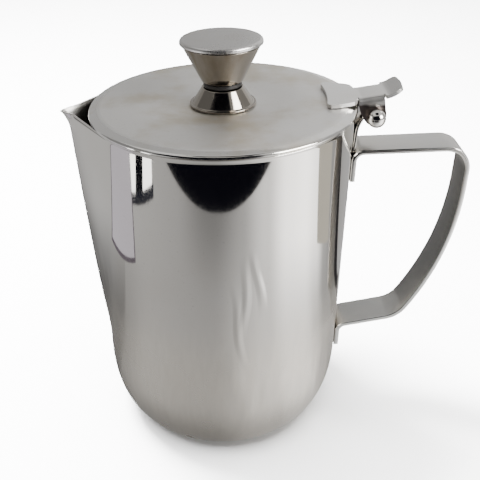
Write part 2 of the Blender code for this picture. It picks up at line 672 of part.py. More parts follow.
def make_knob_screw(material, joint):
    """The screw that holds the knob: a domed head under the lid and a shank up into the nut."""
    seat = KNOB_SEAT - LID_SHEET - UNDER_WASHER_THICKNESS - 2 * FACE_GAP
    tip = NUT_Z + NUT_HEIGHT + SCREW_END
    dome = [(SCREW_HEAD_RADIUS * math.sin(turn),
             seat - SCREW_HEAD_RIM - (SCREW_HEAD_HEIGHT - SCREW_HEAD_RIM) * math.cos(turn))
            for turn in (math.radians(angle) for angle in (0, 30, 60, 90))]
    profile = dome + [(SCREW_HEAD_RADIUS, seat), (SCREW_RADIUS, seat), (SCREW_RADIUS, tip), (0.0, tip)]
    add_piece("knob_screw", turned(profile, 24, closed=False), material, joint)


# ---- Assembly ---------------------------------------------------------------------------------

def main():
    """Clears the scene and makes every piece of the pot."""
    for old in list(bpy.data.objects):
        bpy.data.objects.remove(old, do_unlink=True)

    joint = bpy.data.objects.new("lid_hinge_axis", None)
    joint.location = TIPPED_HINGE
    joint.rotation_euler = RIM_TIP.to_euler()
    bpy.context.scene.collection.objects.link(joint)

    mirror = steel("mirror_steel", 0.08)
    satin = steel("satin_steel", 0.32)
    plain = steel("plain_steel", 0.25)
    black = steel("black_plastic", 0.5, (0.01, 0.01, 0.01, 1.0), 0.0)

    make_pot_body(mirror)
    make_handle(satin)
    make_hinge_bracket(mirror)
    make_lid_shell(satin, joint)
    make_thumb_lever(satin, joint)
    make_hinge_pin(mirror, joint)
    make_pin_ball_cap(mirror, joint)
    make_knob_collar(mirror, joint)
    make_ring("neck_washer", NECK_RADIUS - NECK_WASHER_SHRINK, SCREW_BORE,
              NECK_Z, NECK_Z + NECK_WASHER_THICKNESS, black, joint)
    make_knob_cone(mirror, joint)
    make_knob_cap(satin, joint)
    make_knob_nut(plain, joint)
    make_knob_screw(plain, joint)
    under = KNOB_SEAT - LID_SHEET - FACE_GAP
    make_ring("screw_washer", UNDER_WASHER_RADIUS, SCREW_BORE,
              under - UNDER_WASHER_THICKNESS, under, plain, joint, 24)


main()
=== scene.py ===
"""Looks of the candle melting pot: its fine meshes, its steel finishes and a small white studio.

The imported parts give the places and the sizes. The sheet pieces are drawn again here with rounded
edges, so that the polished steel shows clean reflections. Lengths are in metres.
"""

import json
import logging
import math
from collections.abc import Callable, Sequence
from dataclasses import dataclass, field
from enum import Enum
from typing import Any

import bmesh
import bpy
from mathutils import Matrix, Vector


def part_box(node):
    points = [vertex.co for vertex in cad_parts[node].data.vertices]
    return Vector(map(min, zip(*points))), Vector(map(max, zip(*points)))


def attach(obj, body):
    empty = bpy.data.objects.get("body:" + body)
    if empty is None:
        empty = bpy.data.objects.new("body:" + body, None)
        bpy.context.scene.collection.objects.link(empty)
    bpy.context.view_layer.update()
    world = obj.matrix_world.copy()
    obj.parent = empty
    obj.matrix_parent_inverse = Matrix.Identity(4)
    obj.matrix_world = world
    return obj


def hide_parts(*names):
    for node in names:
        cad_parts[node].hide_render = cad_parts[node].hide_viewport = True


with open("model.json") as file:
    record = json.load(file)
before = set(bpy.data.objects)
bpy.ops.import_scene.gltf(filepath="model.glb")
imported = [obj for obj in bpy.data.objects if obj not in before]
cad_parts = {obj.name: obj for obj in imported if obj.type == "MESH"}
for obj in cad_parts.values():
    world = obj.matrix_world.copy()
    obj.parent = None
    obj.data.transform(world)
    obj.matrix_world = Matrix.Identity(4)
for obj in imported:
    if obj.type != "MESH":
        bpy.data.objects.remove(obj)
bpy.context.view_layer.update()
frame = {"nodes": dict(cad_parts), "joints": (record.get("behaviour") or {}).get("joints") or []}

LOG = logging.getLogger("melting_pot")

MM = 0.001

# Gap left between two faces that touch or run in each other.
FACE_GAP = 0.3 * MM

# The rim falls towards the spout, and the lid with its knob is drawn level and tipped with it.
RIM_TILT = math.radians(1.6)

# Points that lie closer than this are made into one.
MERGE_REACH = 0.0005 * MM

# The part of a noise texture's range that holds most of its values.
NOISE_SPAN = (0.3, 0.7)

Point = tuple[float, float]
Point3 = tuple[float, float, float]
Colour = tuple[float, float, float, float]
Socket = bpy.types.NodeSocket
Material = bpy.types.Material
Mesh = bpy.types.Mesh


class Body(Enum):
    """The two bodies that the pieces ride on."""

    POT = "pot"
    LID = "lid"


class Ends(Enum):
    """Whether a turned outline ends on its axis or closes on itself."""

    ON_AXIS = "on axis"
    CLOSED = "closed"


# ---- Node trees ---------------------------------------------------------------------------------

class NodeSketch:
    """Adds nodes to a tree one step at a time, and links them as it goes."""

    spacing = 180.0

    def __init__(self, tree: bpy.types.NodeTree) -> None:
        """Starts at the left of an existing tree."""
        self.tree = tree
        self.steps = 0

    def add(self, kind: str, inputs: dict[Any, Any] | None = None,
            **settings: Any) -> bpy.types.Node:
        """Adds one node.

        Args:
            kind: Blender's type name of the node.
            inputs: a value or an output socket for each input, by name or by number.
            settings: values of the node's own properties.

        Returns:
            The new node.
        """
        node = self.tree.nodes.new(kind)
        node.location = (self.spacing * self.steps, 0.0)
        self.steps += 1
        for name, value in settings.items():
            setattr(node, name, value)
        for key, value in (inputs or {}).items():
            socket = node.inputs[key]
            if isinstance(value, Socket):
                self.tree.links.new(value, socket)
            else:
                socket.default_value = value
        return node

    def math(self, operation: str, one: Any, two: Any = 0.0) -> Socket:
        """Adds a Math node and returns its result."""
        return self.add("ShaderNodeMath", {0: one, 1: two}, operation=operation).outputs[0]

    def product(self, first: Any, *factors: Any) -> Any:
        """Multiplies values together, in the order given."""
        for factor in factors:
            first = self.math("MULTIPLY", first, factor)
        return first

    def measure(self, operation: str, one: Any, two: Any = (0.0, 0.0, 0.0)) -> Socket:
        """Adds a Vector Math node that gives a number, such as a length, and returns it."""
        node = self.add("ShaderNodeVectorMath", {0: one, 1: two}, operation=operation)
        return node.outputs["Value"]

    def spoke(self, place: Socket) -> Socket:
        """Drops the height of a place, which leaves its way out from the pot's axis."""
        return self.add("ShaderNodeVectorMath", {0: place, 1: (1.0, 1.0, 0.0)},
                        operation="MULTIPLY").outputs[0]

    def split(self, vector: Socket) -> Any:
        """Splits a vector and returns its three parts."""
        return self.add("ShaderNodeSeparateXYZ", {0: vector}).outputs

    def stretch(self, place: Socket, scale: Point3) -> Socket:
        """Multiplies coordinates by a scale for each direction."""
        return self.add("ShaderNodeMapping", {"Vector": place, "Scale": scale}).outputs[0]

    def mix(self, share: Any, one: Any, two: Any) -> Socket:
        """Mixes two numbers by a share and returns the result."""
        return self.add("ShaderNodeMix", {0: share, 2: one, 3: two}).outputs[0]

    def mix_colour(self, share: Any, one: Any, two: Any, blend: str = "MIX") -> Socket:
        """Mixes two colours by a share and returns the result."""
        node = self.add("ShaderNodeMix", {0: share, 6: one, 7: two}, data_type="RGBA",
                        blend_type=blend)
        return node.outputs[2]

    def map_range(self, value: Any, span: Point, to: Point = (0.0, 1.0),
                  smooth: bool = False) -> Socket:
        """Maps a value from one range to another, clamped, and returns the result."""
        numbers = dict(enumerate((value, *span, *to)))
        return self.add("ShaderNodeMapRange", numbers,
                        interpolation_type="SMOOTHSTEP" if smooth else "LINEAR").outputs[0]

    def noise(self, vector: Any, scale: float, detail: float = 3.0, rough: float = 0.5) -> Socket:
        """Adds a noise texture and returns its grey value."""
        return self.add("ShaderNodeTexNoise", {"Vector": vector, "Scale": scale, "Detail": detail,
                                               "Roughness": rough}).outputs[0]

    def bump(self, height: Any, strength: float, distance: float, **under: Socket) -> Socket:
        """Adds a Bump node, over another normal if one is given, and returns the new normal."""
        return self.add("ShaderNodeBump", {"Strength": strength, "Distance": distance,
                                           "Height": height, **under}).outputs[0]


Inputs = dict[str, Socket]


def new_material(name: str) -> tuple[Material, NodeSketch]:
    """Makes a material with an empty node tree.

    Args:
        name: the material's name.

    Returns:
        The material, and a sketch of its tree.
    """
    material = bpy.data.materials.new(name)
    material.use_nodes = True
    material.node_tree.nodes.clear()
    return material, NodeSketch(material.node_tree)


def add_object(name: str, data: bpy.types.ID) -> bpy.types.Object:
    """Puts an object in the scene.

    Args:
        name: the object's name.
        data: its mesh, lamp or camera.

    Returns:
        The new object, at the origin.
    """
    item = bpy.data.objects.new(name, data)
    bpy.context.scene.collection.objects.link(item)
    return item


def keep_evaluated(item: bpy.types.Object) -> Mesh:
    """Keeps an object's mesh as its modifiers leave it, and takes the object away.

    Args:
        item: the object.

    Returns:
        The finished mesh.
    """
    graph = bpy.context.evaluated_depsgraph_get()
    mesh = bpy.data.meshes.new_from_object(item.evaluated_get(graph))
    item.modifiers.clear()
    bpy.data.objects.remove(item)
    return mesh


@dataclass(frozen=True)
class ShapeInput:
    """One named input of a geometry tree and the value that it gets."""

    name: str
    value: Any
    kind: str = "NodeSocketFloat"


@dataclass
class ShapeTree:
    """A Geometry Nodes tree that turns a drawn line into a finished mesh."""

    name: str
    inputs: list[ShapeInput]
    material: Material
    steps: Callable[[NodeSketch, Inputs], Socket]

    def build(self) -> bpy.types.GeometryNodeTree:
        """Makes the tree, with its inputs, its steps and its last nodes.

        Returns:
            The new node group.
        """
        tree = bpy.data.node_groups.new(self.name, "GeometryNodeTree")
        ends = ShapeInput("Geometry", None, "NodeSocketGeometry")
        for item in (ends, *self.inputs):
            tree.interface.new_socket(name=item.name, in_out="INPUT", socket_type=item.kind)
        tree.interface.new_socket(name=ends.name, in_out="OUTPUT", socket_type=ends.kind)
        sketch = NodeSketch(tree)
        start = sketch.add("NodeGroupInput")
        shape = self.steps(sketch, {socket.name: socket for socket in start.outputs if socket.name})
        smooth = sketch.add("GeometryNodeSetShadeSmooth", {"Geometry": shape})
        real = sketch.add("GeometryNodeRealizeInstances", {"Geometry": smooth.outputs[0]})
        dressed = sketch.add("GeometryNodeSetMaterial", {"Geometry": real.outputs[0],
                                                         "Material": self.material})
        sketch.add("NodeGroupOutput", {"Geometry": dressed.outputs[0]})
        return tree

    def bake(self, line: Sequence[Point3], name: str) -> Mesh:
        """Runs the tree on a line of points and keeps the result as a plain mesh.

        Args:
            line: the points of the line, in order.
            name: the name of the mesh.

        Returns:
            The finished mesh.
        """
        drawn = bpy.data.meshes.new(f"{name} line")
        drawn.from_pydata(list(line), [(index, index + 1) for index in range(len(line) - 1)], [])
        holder = add_object(f"{name} line", drawn)
        shaped = holder.modifiers.new(self.name, "NODES")
        shaped.node_group = self.build()
        sockets = {item.name: item.identifier for item in shaped.node_group.interface.items_tree
                   if item.in_out == "INPUT"}
        for item in self.inputs:
            shaped[sockets[item.name]] = item.value
        mesh = keep_evaluated(holder)
        mesh.name = name
        return mesh


def turned_steps(sketch: NodeSketch, inputs: Inputs) -> Socket:
    """Steps that turn an outline in the XZ plane about the Z axis.

    Args:
        sketch: the tree to add to.
        inputs: the tree's inputs by name.

    Returns:
        The turned mesh.
    """
    outline, segments = inputs["Geometry"], inputs["Segments"]
    count = sketch.add("GeometryNodeAttributeDomainSize", {"Geometry": outline}).outputs[0]
    around = sketch.math("ADD", segments, 1.0)
    grid = sketch.add("GeometryNodeMeshGrid", {"Vertices X": count, "Vertices Y": around})
    index = sketch.add("GeometryNodeInputIndex").outputs[0]
    along = sketch.math("FLOOR", sketch.math("DIVIDE", index, around))
    turn = sketch.math("MULTIPLY", sketch.math("MODULO", index, around),
                       sketch.math("DIVIDE", 2.0 * math.pi, segments))
    place = sketch.add("GeometryNodeInputPosition").outputs[0]
    picked = sketch.add("GeometryNodeSampleIndex", {"Geometry": outline, "Index": along},
                        data_type="FLOAT_VECTOR", domain="POINT")
    sketch.tree.links.new(place, picked.inputs["Value"])
    radius, _, height = sketch.split(picked.outputs[0])
    spot = sketch.add("ShaderNodeCombineXYZ", {
        0: sketch.math("MULTIPLY", radius, sketch.math("COSINE", turn)),
        1: sketch.math("MULTIPLY", radius, sketch.math("SINE", turn)),
        2: height})
    moved = sketch.add("GeometryNodeSetPosition", {"Geometry": grid.outputs[0],
                                                   "Position": spot.outputs[0]})
    return sketch.add("GeometryNodeMergeByDistance", {"Geometry": moved.outputs[0],
                                                      "Distance": MERGE_REACH}).outputs[0]


def strip_steps(sketch: NodeSketch, inputs: Inputs) -> Socket:
    """Steps that carry a strip's section along a bent line and curve its ends to the pot's wall.

    Args:
        sketch: the tree to add to.
        inputs: the tree's inputs by name.

    Returns:
        The strip's mesh.
    """
    line = sketch.add("GeometryNodeMeshToCurve", {"Mesh": inputs["Geometry"]})
    upright = sketch.add("GeometryNodeSetCurveNormal", {"Curve": line.outputs[0]}, mode="FREE")
    upright.inputs["Normal"].default_value = (0.0, 1.0, 0.0)
    section = sketch.add("GeometryNodeCurvePrimitiveQuadrilateral",
                         {"Width": inputs["Width"], "Height": inputs["Sheet"]})
    rounded = sketch.add("GeometryNodeFilletCurve", {"Curve": section.outputs[0],
                                                     "Radius": inputs["Edge Radius"]}, mode="POLY")
    rounded.inputs["Count"].default_value = 3
    solid = sketch.add("GeometryNodeCurveToMesh", {
        "Curve": upright.outputs[0], "Profile Curve": rounded.outputs[0], "Fill Caps": True})
    across, aside, height = sketch.split(sketch.add("GeometryNodeInputPosition").outputs[0])
    wall = inputs["Wall Radius"]
    flat = sketch.math("SQRT", sketch.math("SUBTRACT", sketch.math("MULTIPLY", wall, wall),
                                           sketch.math("MULTIPLY", aside, aside)))
    sag = sketch.math("SUBTRACT", wall, flat)
    off_wall = sketch.math("DIVIDE", sketch.math("SUBTRACT", across, wall), inputs["Fit Reach"])
    near = sketch.add("ShaderNodeClamp", {0: sketch.math("SUBTRACT", 2.0, off_wall)}).outputs[0]
    depth = sketch.math("SUBTRACT", inputs["Fit Below"], height)
    below = sketch.add("ShaderNodeClamp", {0: sketch.math("DIVIDE", depth, inputs["Sheet"])})
    shift = sketch.product(near, below.outputs[0], sag, -1.0)
    offset = sketch.add("ShaderNodeCombineXYZ", {0: shift})
    return sketch.add("GeometryNodeSetPosition", {"Geometry": solid.outputs[0],
                                                  "Offset": offset.outputs[0]}).outputs[0]


# ---- Outlines -----------------------------------------------------------------------------------

class SheetPath:
    """The middle line of a bent sheet, drawn as straights and bends in an upright plane."""

    def __init__(self, across: float, up: float, heading_deg: float) -> None:
        """Starts at a point, with a heading in degrees from the level."""
        self.points: list[Point] = [(across, up)]
        self.heading = math.radians(heading_deg)

    def straight(self, length: float) -> "SheetPath":
        """Goes on in a straight line."""
        across, up = self.points[-1]
        self.points.append((across + length * math.cos(self.heading),
                            up + length * math.sin(self.heading)))
        return self

    def straight_to_across(self, across: float) -> "SheetPath":
        """Goes straight on until it reaches the given distance across."""
        return self.straight((across - self.points[-1][0]) / math.cos(self.heading))

    def straight_to_up(self, up: float) -> "SheetPath":
        """Goes straight on until it reaches the given height."""
        return self.straight((up - self.points[-1][1]) / math.sin(self.heading))

    def bend(self, radius: float, turn_deg: float, step_deg: float = 3.0) -> "SheetPath":
        """Turns through an angle.

        Args:
            radius: radius of the bend.
            turn_deg: the angle, to the left when it is positive.
            step_deg: the largest angle between two points.

        Returns:
            This path.
        """
        steps = max(2, math.ceil(abs(turn_deg) / step_deg))
        side = math.copysign(1.0, turn_deg)
        across, up = self.points[-1]
        centre = (across - side * radius * math.sin(self.heading),
                  up + side * radius * math.cos(self.heading))
        for step in range(1, steps + 1):
            heading = self.heading + math.radians(turn_deg) * step / steps
            self.points.append((centre[0] + side * radius * math.sin(heading),
                                centre[1] - side * radius * math.cos(heading)))
        self.heading += math.radians(turn_deg)
        return self


def bend_across(radius: float, heading_deg: float, turn_deg: float) -> float:
    """Distance across that a bend covers when it starts at the given heading."""
    start, end = math.radians(heading_deg), math.radians(heading_deg + turn_deg)
    return math.copysign(radius, turn_deg) * (math.sin(end) - math.sin(start))


def offset_path(points: Sequence[Point], distance: float) -> list[Point]:
    """Moves a path to its left by a distance, with mitred corners.

    Args:
        points: the path.
        distance: how far it moves, to the left when positive.

    Returns:
        The moved path.
    """
    moved = []
    for index, point in enumerate(points):
        before = Vector(points[max(index - 1, 0)])
        here = Vector(point)
        after = Vector(points[min(index + 1, len(points) - 1)])
        legs = [leg.normalized() for leg in (here - before, after - here) if leg.length > 0]
        along = sum(legs, Vector((0.0, 0.0))).normalized()
        shift = distance / along.dot(legs[0])
        moved.append((here.x - along.y * shift, here.y + along.x * shift))
    return moved


def sheet_outline(points: Sequence[Point], thickness: float) -> list[Point]:
    """The closed outline of a sheet whose middle line is the path."""
    return offset_path(points, thickness / 2) + offset_path(points, -thickness / 2)[::-1]


# A corner flatter than this is not rounded.
FLAT_CORNER = math.radians(4.0)
# The share of a leg that a rounding may take, and how far beyond it the holding point lies.
LEG_SHARE = 0.42
HOLD_SHARE = 0.12


def eased(outline: Sequence[Point], radius: float, ends: Ends, steps: int = 4) -> list[Point]:
    """Rounds the corners of an outline, with a holding point on each side of every rounding.

    Args:
        outline: the corner points.
        radius: the largest rounding radius.
        ends: whether the outline ends on its axis or closes on itself.
        steps: how many faces each rounding has.

    Returns:
        The rounded outline. A closed one ends on its first point.
    """
    corners = [Vector(point) for point in outline]
    closed = ends is Ends.CLOSED
    count = len(corners)
    rounded: list[Point] = []
    for index, here in enumerate(corners):
        back = corners[index - 1] - here
        ahead = corners[(index + 1) % count] - here
        at_end = not closed and index in (0, count - 1)
        if at_end or math.pi - back.angle(ahead) < FLAT_CORNER:
            rounded.append(tuple(here))
            continue
        turn = math.pi - back.angle(ahead)
        reach = min(radius * math.tan(turn / 2), LEG_SHARE * back.length, LEG_SHARE * ahead.length)
        start, end = here + back.normalized() * reach, here + ahead.normalized() * reach
        rounded.append(tuple(start + back.normalized() * reach * HOLD_SHARE))
        for step in range(steps + 1):
            share = step / steps
            rounded.append(tuple(start.lerp(here, share).lerp(here.lerp(end, share), share)))
        rounded.append(tuple(end + ahead.normalized() * reach * HOLD_SHARE))
    return rounded + rounded[:1] if closed else rounded


# ---- Finishes -----------------------------------------------------------------------------------

CLEAN_STEEL = (0.66, 0.635, 0.6, 1.0)
WARM_STEEL = (0.58, 0.54, 0.48, 1.0)


def about(value: float, spread: float) -> Point:
    """The range that reaches a little below and above a value."""
    return (value - spread, value + spread)


@dataclass(frozen=True)
class SteelFinish:
    """Stainless steel with a fine grain, faint stains and tiny pits."""

    name: str
    colour: Colour
    stain: Colour = WARM_STEEL
    roughness: float = 0.3
    spread: float = 0.08
    least_roughness: float = 0.01
    grain: float = 900.0
    grain_depth: float = 0.03
    grain_share: float = 0.4
    wipe_scale: float = 45.0
    stain_scale: float = 22.0
    stain_span: Point = (0.42, 0.72)
    stain_share: float = 0.5
    pit_scale: float = 1400.0
    pit_span: Point = (0.70, 0.76)
    pit_share: float = 0.3
    pit_colour: Colour = (0.25, 0.24, 0.22, 1.0)

    def build(self) -> Material:
        """Makes the material.

        Returns:
            The new material.
        """
        material, sketch = new_material(self.name)
        place = sketch.add("ShaderNodeTexCoord").outputs["Object"]
        shader = sketch.add("ShaderNodeBsdfPrincipled", {
            "Metallic": 1.0, "Base Color": self.colour_steps(sketch, place),
            "Roughness": self.roughness_steps(sketch, place),
            "Normal": self.bump_steps(sketch, place)})
        sketch.add("ShaderNodeOutputMaterial", {"Surface": shader.outputs[0]})
        return material

    def colour_steps(self, sketch: NodeSketch, place: Socket) -> Socket:
        """Colour: clean steel, patches of stain, and small dark pits.

        Args:
            sketch: the tree to add to.
            place: the object coordinates.

        Returns:
            The colour.
        """
        patches = sketch.map_range(sketch.noise(place, self.stain_scale, 4.0, 0.6), self.stain_span,
                                   (0.0, self.stain_share), smooth=True)
        stained = sketch.mix_colour(patches, self.colour, self.stain)
        pits = sketch.map_range(sketch.noise(place, self.pit_scale, 1.0), self.pit_span,
                                (0.0, self.pit_share))
        return sketch.mix_colour(pits, stained, self.pit_colour)

    def roughness_steps(self, sketch: NodeSketch, place: Socket) -> Socket:
        """Roughness: broad wiped patches with a fine grain over them.

        Args:
            sketch: the tree to add to.
            place: the object coordinates.

        Returns:
            The roughness.
        """
        broad = sketch.noise(place, self.wipe_scale)
        broad = sketch.math("MULTIPLY", broad, 1.0 - self.grain_share)
        fine = sketch.math("MULTIPLY", self.grain_steps(sketch, place), self.grain_share)
        low, high = about(self.roughness, self.spread)
        return sketch.map_range(sketch.math("ADD", broad, fine), (0.25, 0.75),
                                (max(self.least_roughness, low), high))

    def bump_steps(self, sketch: NodeSketch, place: Socket) -> Socket:
        """Bump: the fine grain alone."""
        return sketch.bump(self.grain_steps(sketch, place), self.grain_depth, 0.1 * MM)

    def grain_steps(self, sketch: NodeSketch, place: Socket) -> Socket:
        """The fine grain, as a grey value."""
        return sketch.noise(sketch.stretch(place, (self.grain,) * 3), 1.0, 2.0)


@dataclass(frozen=True)
class Crease:
    """A soft upright crease, from its bottom to its top, each with its place across the wall."""

    top_across: float
    bottom_across: float
    bottom: float
    top: float


@dataclass(frozen=True)
class PolishedWall(SteelFinish):
    """The jug's wall: a mirror at the top that turns to a soft satin lower down, with ripples."""

    satin_roughness: float = 0.3
    satin_spread: float = 0.05
    inner_roughness: float = 0.42
    inner_spread: float = 0.06
    satin_scale: float = 60.0
    satin_colour: Colour = (0.77, 0.72, 0.645, 1.0)
    mirror_from: float = 88.0 * MM
    satin_from: float = 42.0 * MM
    wave_scale: float = 28.0
    wave_height: float = 24.0 * MM
    inner_span: Point = (-6.0 * MM, -12.0 * MM)
    wiping: Point3 = (520.0, 520.0, 90.0)
    wiping_tone: Point = (0.96, 1.02)
    ripple: float = 0.7
    ripple_height: float = 2.4 * MM
    ripple_scale: float = 95.0
    ripple_stretch: Point3 = (1.0, 1.0, 0.18)
    patch_scale: float = 16.0
    patch_span: Point = (0.46, 0.62)
    patch_share: Point = (0.15, 1.0)
    crease_width: float = 2.1 * MM
    crease_depth: float = 0.26 * MM
    sway: float = 0.7 * MM
    sway_turns: float = 170.0
    front_span: Point = (-40.0 * MM, -30.0 * MM)
    creases: tuple[Crease, ...] = (Crease(3.0 * MM, 9.0 * MM, 46.0 * MM, 94.0 * MM),
                                   Crease(8.5 * MM, 7.5 * MM, 62.0 * MM, 104.0 * MM),
                                   Crease(11.0 * MM, 15.0 * MM, 72.0 * MM, 106.0 * MM))

    def satin_share(self, sketch: NodeSketch, place: Socket) -> Socket:
        """How satin the wall is, from its height with a wavy edge.

        Args:
            sketch: the tree to add to.
            place: the object coordinates.

        Returns:
            One where it is satin and nothing where it is a mirror.
        """
        wave = sketch.math("MULTIPLY", sketch.noise(place, self.wave_scale, 2.0), self.wave_height)
        middle = self.wave_height / 2
        return sketch.map_range(sketch.math("ADD", sketch.split(place)[2], wave),
                                (self.satin_from + middle, self.mirror_from + middle), (1.0, 0.0),
                                smooth=True)

    def inner_share(self, sketch: NodeSketch, place: Socket) -> Socket:
        """One on the inside of the wall, which faces the pot's axis, and nothing outside."""
        facing = sketch.add("ShaderNodeTexCoord").outputs["Normal"]
        return sketch.map_range(sketch.measure("DOT_PRODUCT", sketch.spoke(place), facing),
                                self.inner_span)

    def roughness_steps(self, sketch: NodeSketch, place: Socket) -> Socket:
        """Roughness: low in the mirror part, higher in the satin part and highest inside.

        Args:
            sketch: the tree to add to.
            place: the object coordinates.

        Returns:
            The roughness.
        """
        patches = sketch.noise(place, self.satin_scale)
        satin, inner = (sketch.map_range(patches, NOISE_SPAN, about(value, spread))
                        for value, spread in ((self.satin_roughness, self.satin_spread),
                                              (self.inner_roughness, self.inner_spread)))
        outer = sketch.mix(self.satin_share(sketch, place), super().roughness_steps(sketch, place),
                           satin)
        return sketch.mix(self.inner_share(sketch, place), outer, inner)

    def colour_steps(self, sketch: NodeSketch, place: Socket) -> Socket:
        """Colour: clean steel above, and a warmer satin with faint upright wiping lower down.

        Args:
            sketch: the tree to add to.
            place: the object coordinates.

        Returns:
            The colour.
        """
        streaks = sketch.noise(sketch.stretch(place, self.wiping), 1.0, 3.0, 0.6)
        wiped = sketch.map_range(streaks, NOISE_SPAN, self.wiping_tone)
        satin = sketch.mix_colour(1.0, self.satin_colour, wiped, "MULTIPLY")
        return sketch.mix_colour(self.satin_share(sketch, place),
                                 super().colour_steps(sketch, place), satin)

    def crease_steps(self, sketch: NodeSketch, parts: Sequence[Socket], crease: Crease) -> Socket:
        """One crease in the front of the wall.

        Args:
            sketch: the tree to add to.
            parts: the three object coordinates.
            crease: the crease.

        Returns:
            One along the middle of the crease and nothing away from it.
        """
        x, y, height = parts
        swing = sketch.math("SINE", sketch.math("MULTIPLY", height, self.sway_turns))
        line = sketch.map_range(height, (crease.bottom, crease.top),
                                (crease.bottom_across, crease.top_across))
        line = sketch.math("ADD", line, sketch.math("MULTIPLY", swing, self.sway))
        aside = sketch.math("ABSOLUTE", sketch.math("SUBTRACT", x, line))
        across = sketch.map_range(aside, (0.0, self.crease_width), (1.0, 0.0), smooth=True)
        middle, reach = (crease.bottom + crease.top) / 2, (crease.top - crease.bottom) / 2
        off_middle = sketch.math("ABSOLUTE", sketch.math("SUBTRACT", height, middle))
        along = sketch.map_range(off_middle, (0.0, reach), (1.0, 0.0), smooth=True)
        return sketch.product(across, along, sketch.map_range(y, self.front_span, (1.0, 0.0)))

    def bump_steps(self, sketch: NodeSketch, place: Socket) -> Socket:
        """Bump: upright ripples left by the polishing wheel, and a few soft creases in front.

        Args:
            sketch: the tree to add to.
            place: the object coordinates.

        Returns:
            The normal.
        """
        ripples = sketch.noise(sketch.stretch(place, self.ripple_stretch), self.ripple_scale, 1.5,
                               0.4)
        patches = sketch.map_range(sketch.noise(place, self.patch_scale, 1.0), self.patch_span,
                                   self.patch_share, smooth=True)
        height = sketch.product(self.satin_share(sketch, place), patches, ripples)
        rippled = sketch.bump(height, self.ripple, self.ripple_height)
        parts = sketch.split(place)
        depth: Any = 0.0
        for crease in self.creases:
            depth = sketch.math("ADD", depth, self.crease_steps(sketch, parts, crease))
        return sketch.bump(depth, 1.0, self.crease_depth, Normal=rippled)


@dataclass(frozen=True)
class EdgedDisc(SteelFinish):
    """A satin disc whose rolled rim is polished bright."""

    rim_span: Point = (46.8 * MM, 48.6 * MM)
    rim_roughness: float = 0.1

    def roughness_steps(self, sketch: NodeSketch, place: Socket) -> Socket:
        """Roughness: the satin grain, and a low value at the rim."""
        rim = sketch.map_range(sketch.measure("LENGTH", sketch.spoke(place)), self.rim_span,
                               smooth=True)
        return sketch.mix(rim, super().roughness_steps(sketch, place), self.rim_roughness)


@dataclass(frozen=True)
class EdgedStrip(SteelFinish):
    """A satin strip whose two long edges are polished bright."""

    half_width: float = 7.75 * MM
    edge_width: float = 0.5 * MM
    edge_roughness: float = 0.1

    def roughness_steps(self, sketch: NodeSketch, place: Socket) -> Socket:
        """Roughness: the satin grain, and a low value at the edges.

        Args:
            sketch: the tree to add to.
            place: the object coordinates.

        Returns:
            The roughness.
        """
        aside = sketch.math("ABSOLUTE", sketch.split(place)[1])
        edges = sketch.map_range(aside, (self.half_width - self.edge_width,
                                         self.half_width - 0.25 * self.edge_width))
        return sketch.mix(edges, super().roughness_steps(sketch, place), self.edge_roughness)


@dataclass(frozen=True)
class BrownBelowFold(SteelFinish):
    """A satin lever whose folded cheeks are dark brown below the fold."""

    fold_height: float = 142.9 * MM
    brown: Colour = (0.05, 0.033, 0.03, 1.0)
    brown_share: float = 0.9
    wave_scale: float = 300.0
    wave_height: float = 1.5 * MM

    def colour_steps(self, sketch: NodeSketch, place: Socket) -> Socket:
        """Colour: the satin steel, and brown below the fold.

        Args:
            sketch: the tree to add to.
            place: the object coordinates.

        Returns:
            The colour.
        """
        wave = sketch.math("MULTIPLY", sketch.noise(place, self.wave_scale, 2.0), self.wave_height)
        span = (self.fold_height - 0.4 * MM, self.fold_height + 1.0 * MM)
        low = sketch.map_range(sketch.math("ADD", sketch.split(place)[2], wave), span,
                               (self.brown_share, 0.0), smooth=True)
        return sketch.mix_colour(low, super().colour_steps(sketch, place), self.brown)


@dataclass(frozen=True)
class BlackRing:
    """Dull black with a fine grain, for the ring at the knob's neck under the upper cone."""

    name: str = "black ring"
    colour: Colour = (0.006, 0.006, 0.006, 1.0)
    worn: Colour = (0.02, 0.018, 0.016, 1.0)
    grain: float = 2600.0
    grain_depth: float = 0.3
    roughness: Point = (0.38, 0.55)

    def build(self) -> Material:
        """Makes the material.

        Returns:
            The new material.
        """
        material, sketch = new_material(self.name)
        grain = sketch.noise(sketch.add("ShaderNodeTexCoord").outputs["Object"], self.grain)
        shader = sketch.add("ShaderNodeBsdfPrincipled", {
            "Base Color": sketch.mix_colour(grain, self.colour, self.worn), "Metallic": 0.0,
            "Normal": sketch.bump(grain, self.grain_depth, 0.05 * MM),
            "Roughness": sketch.map_range(grain, NOISE_SPAN, self.roughness)})
        sketch.add("ShaderNodeOutputMaterial", {"Surface": shader.outputs[0]})
        return material


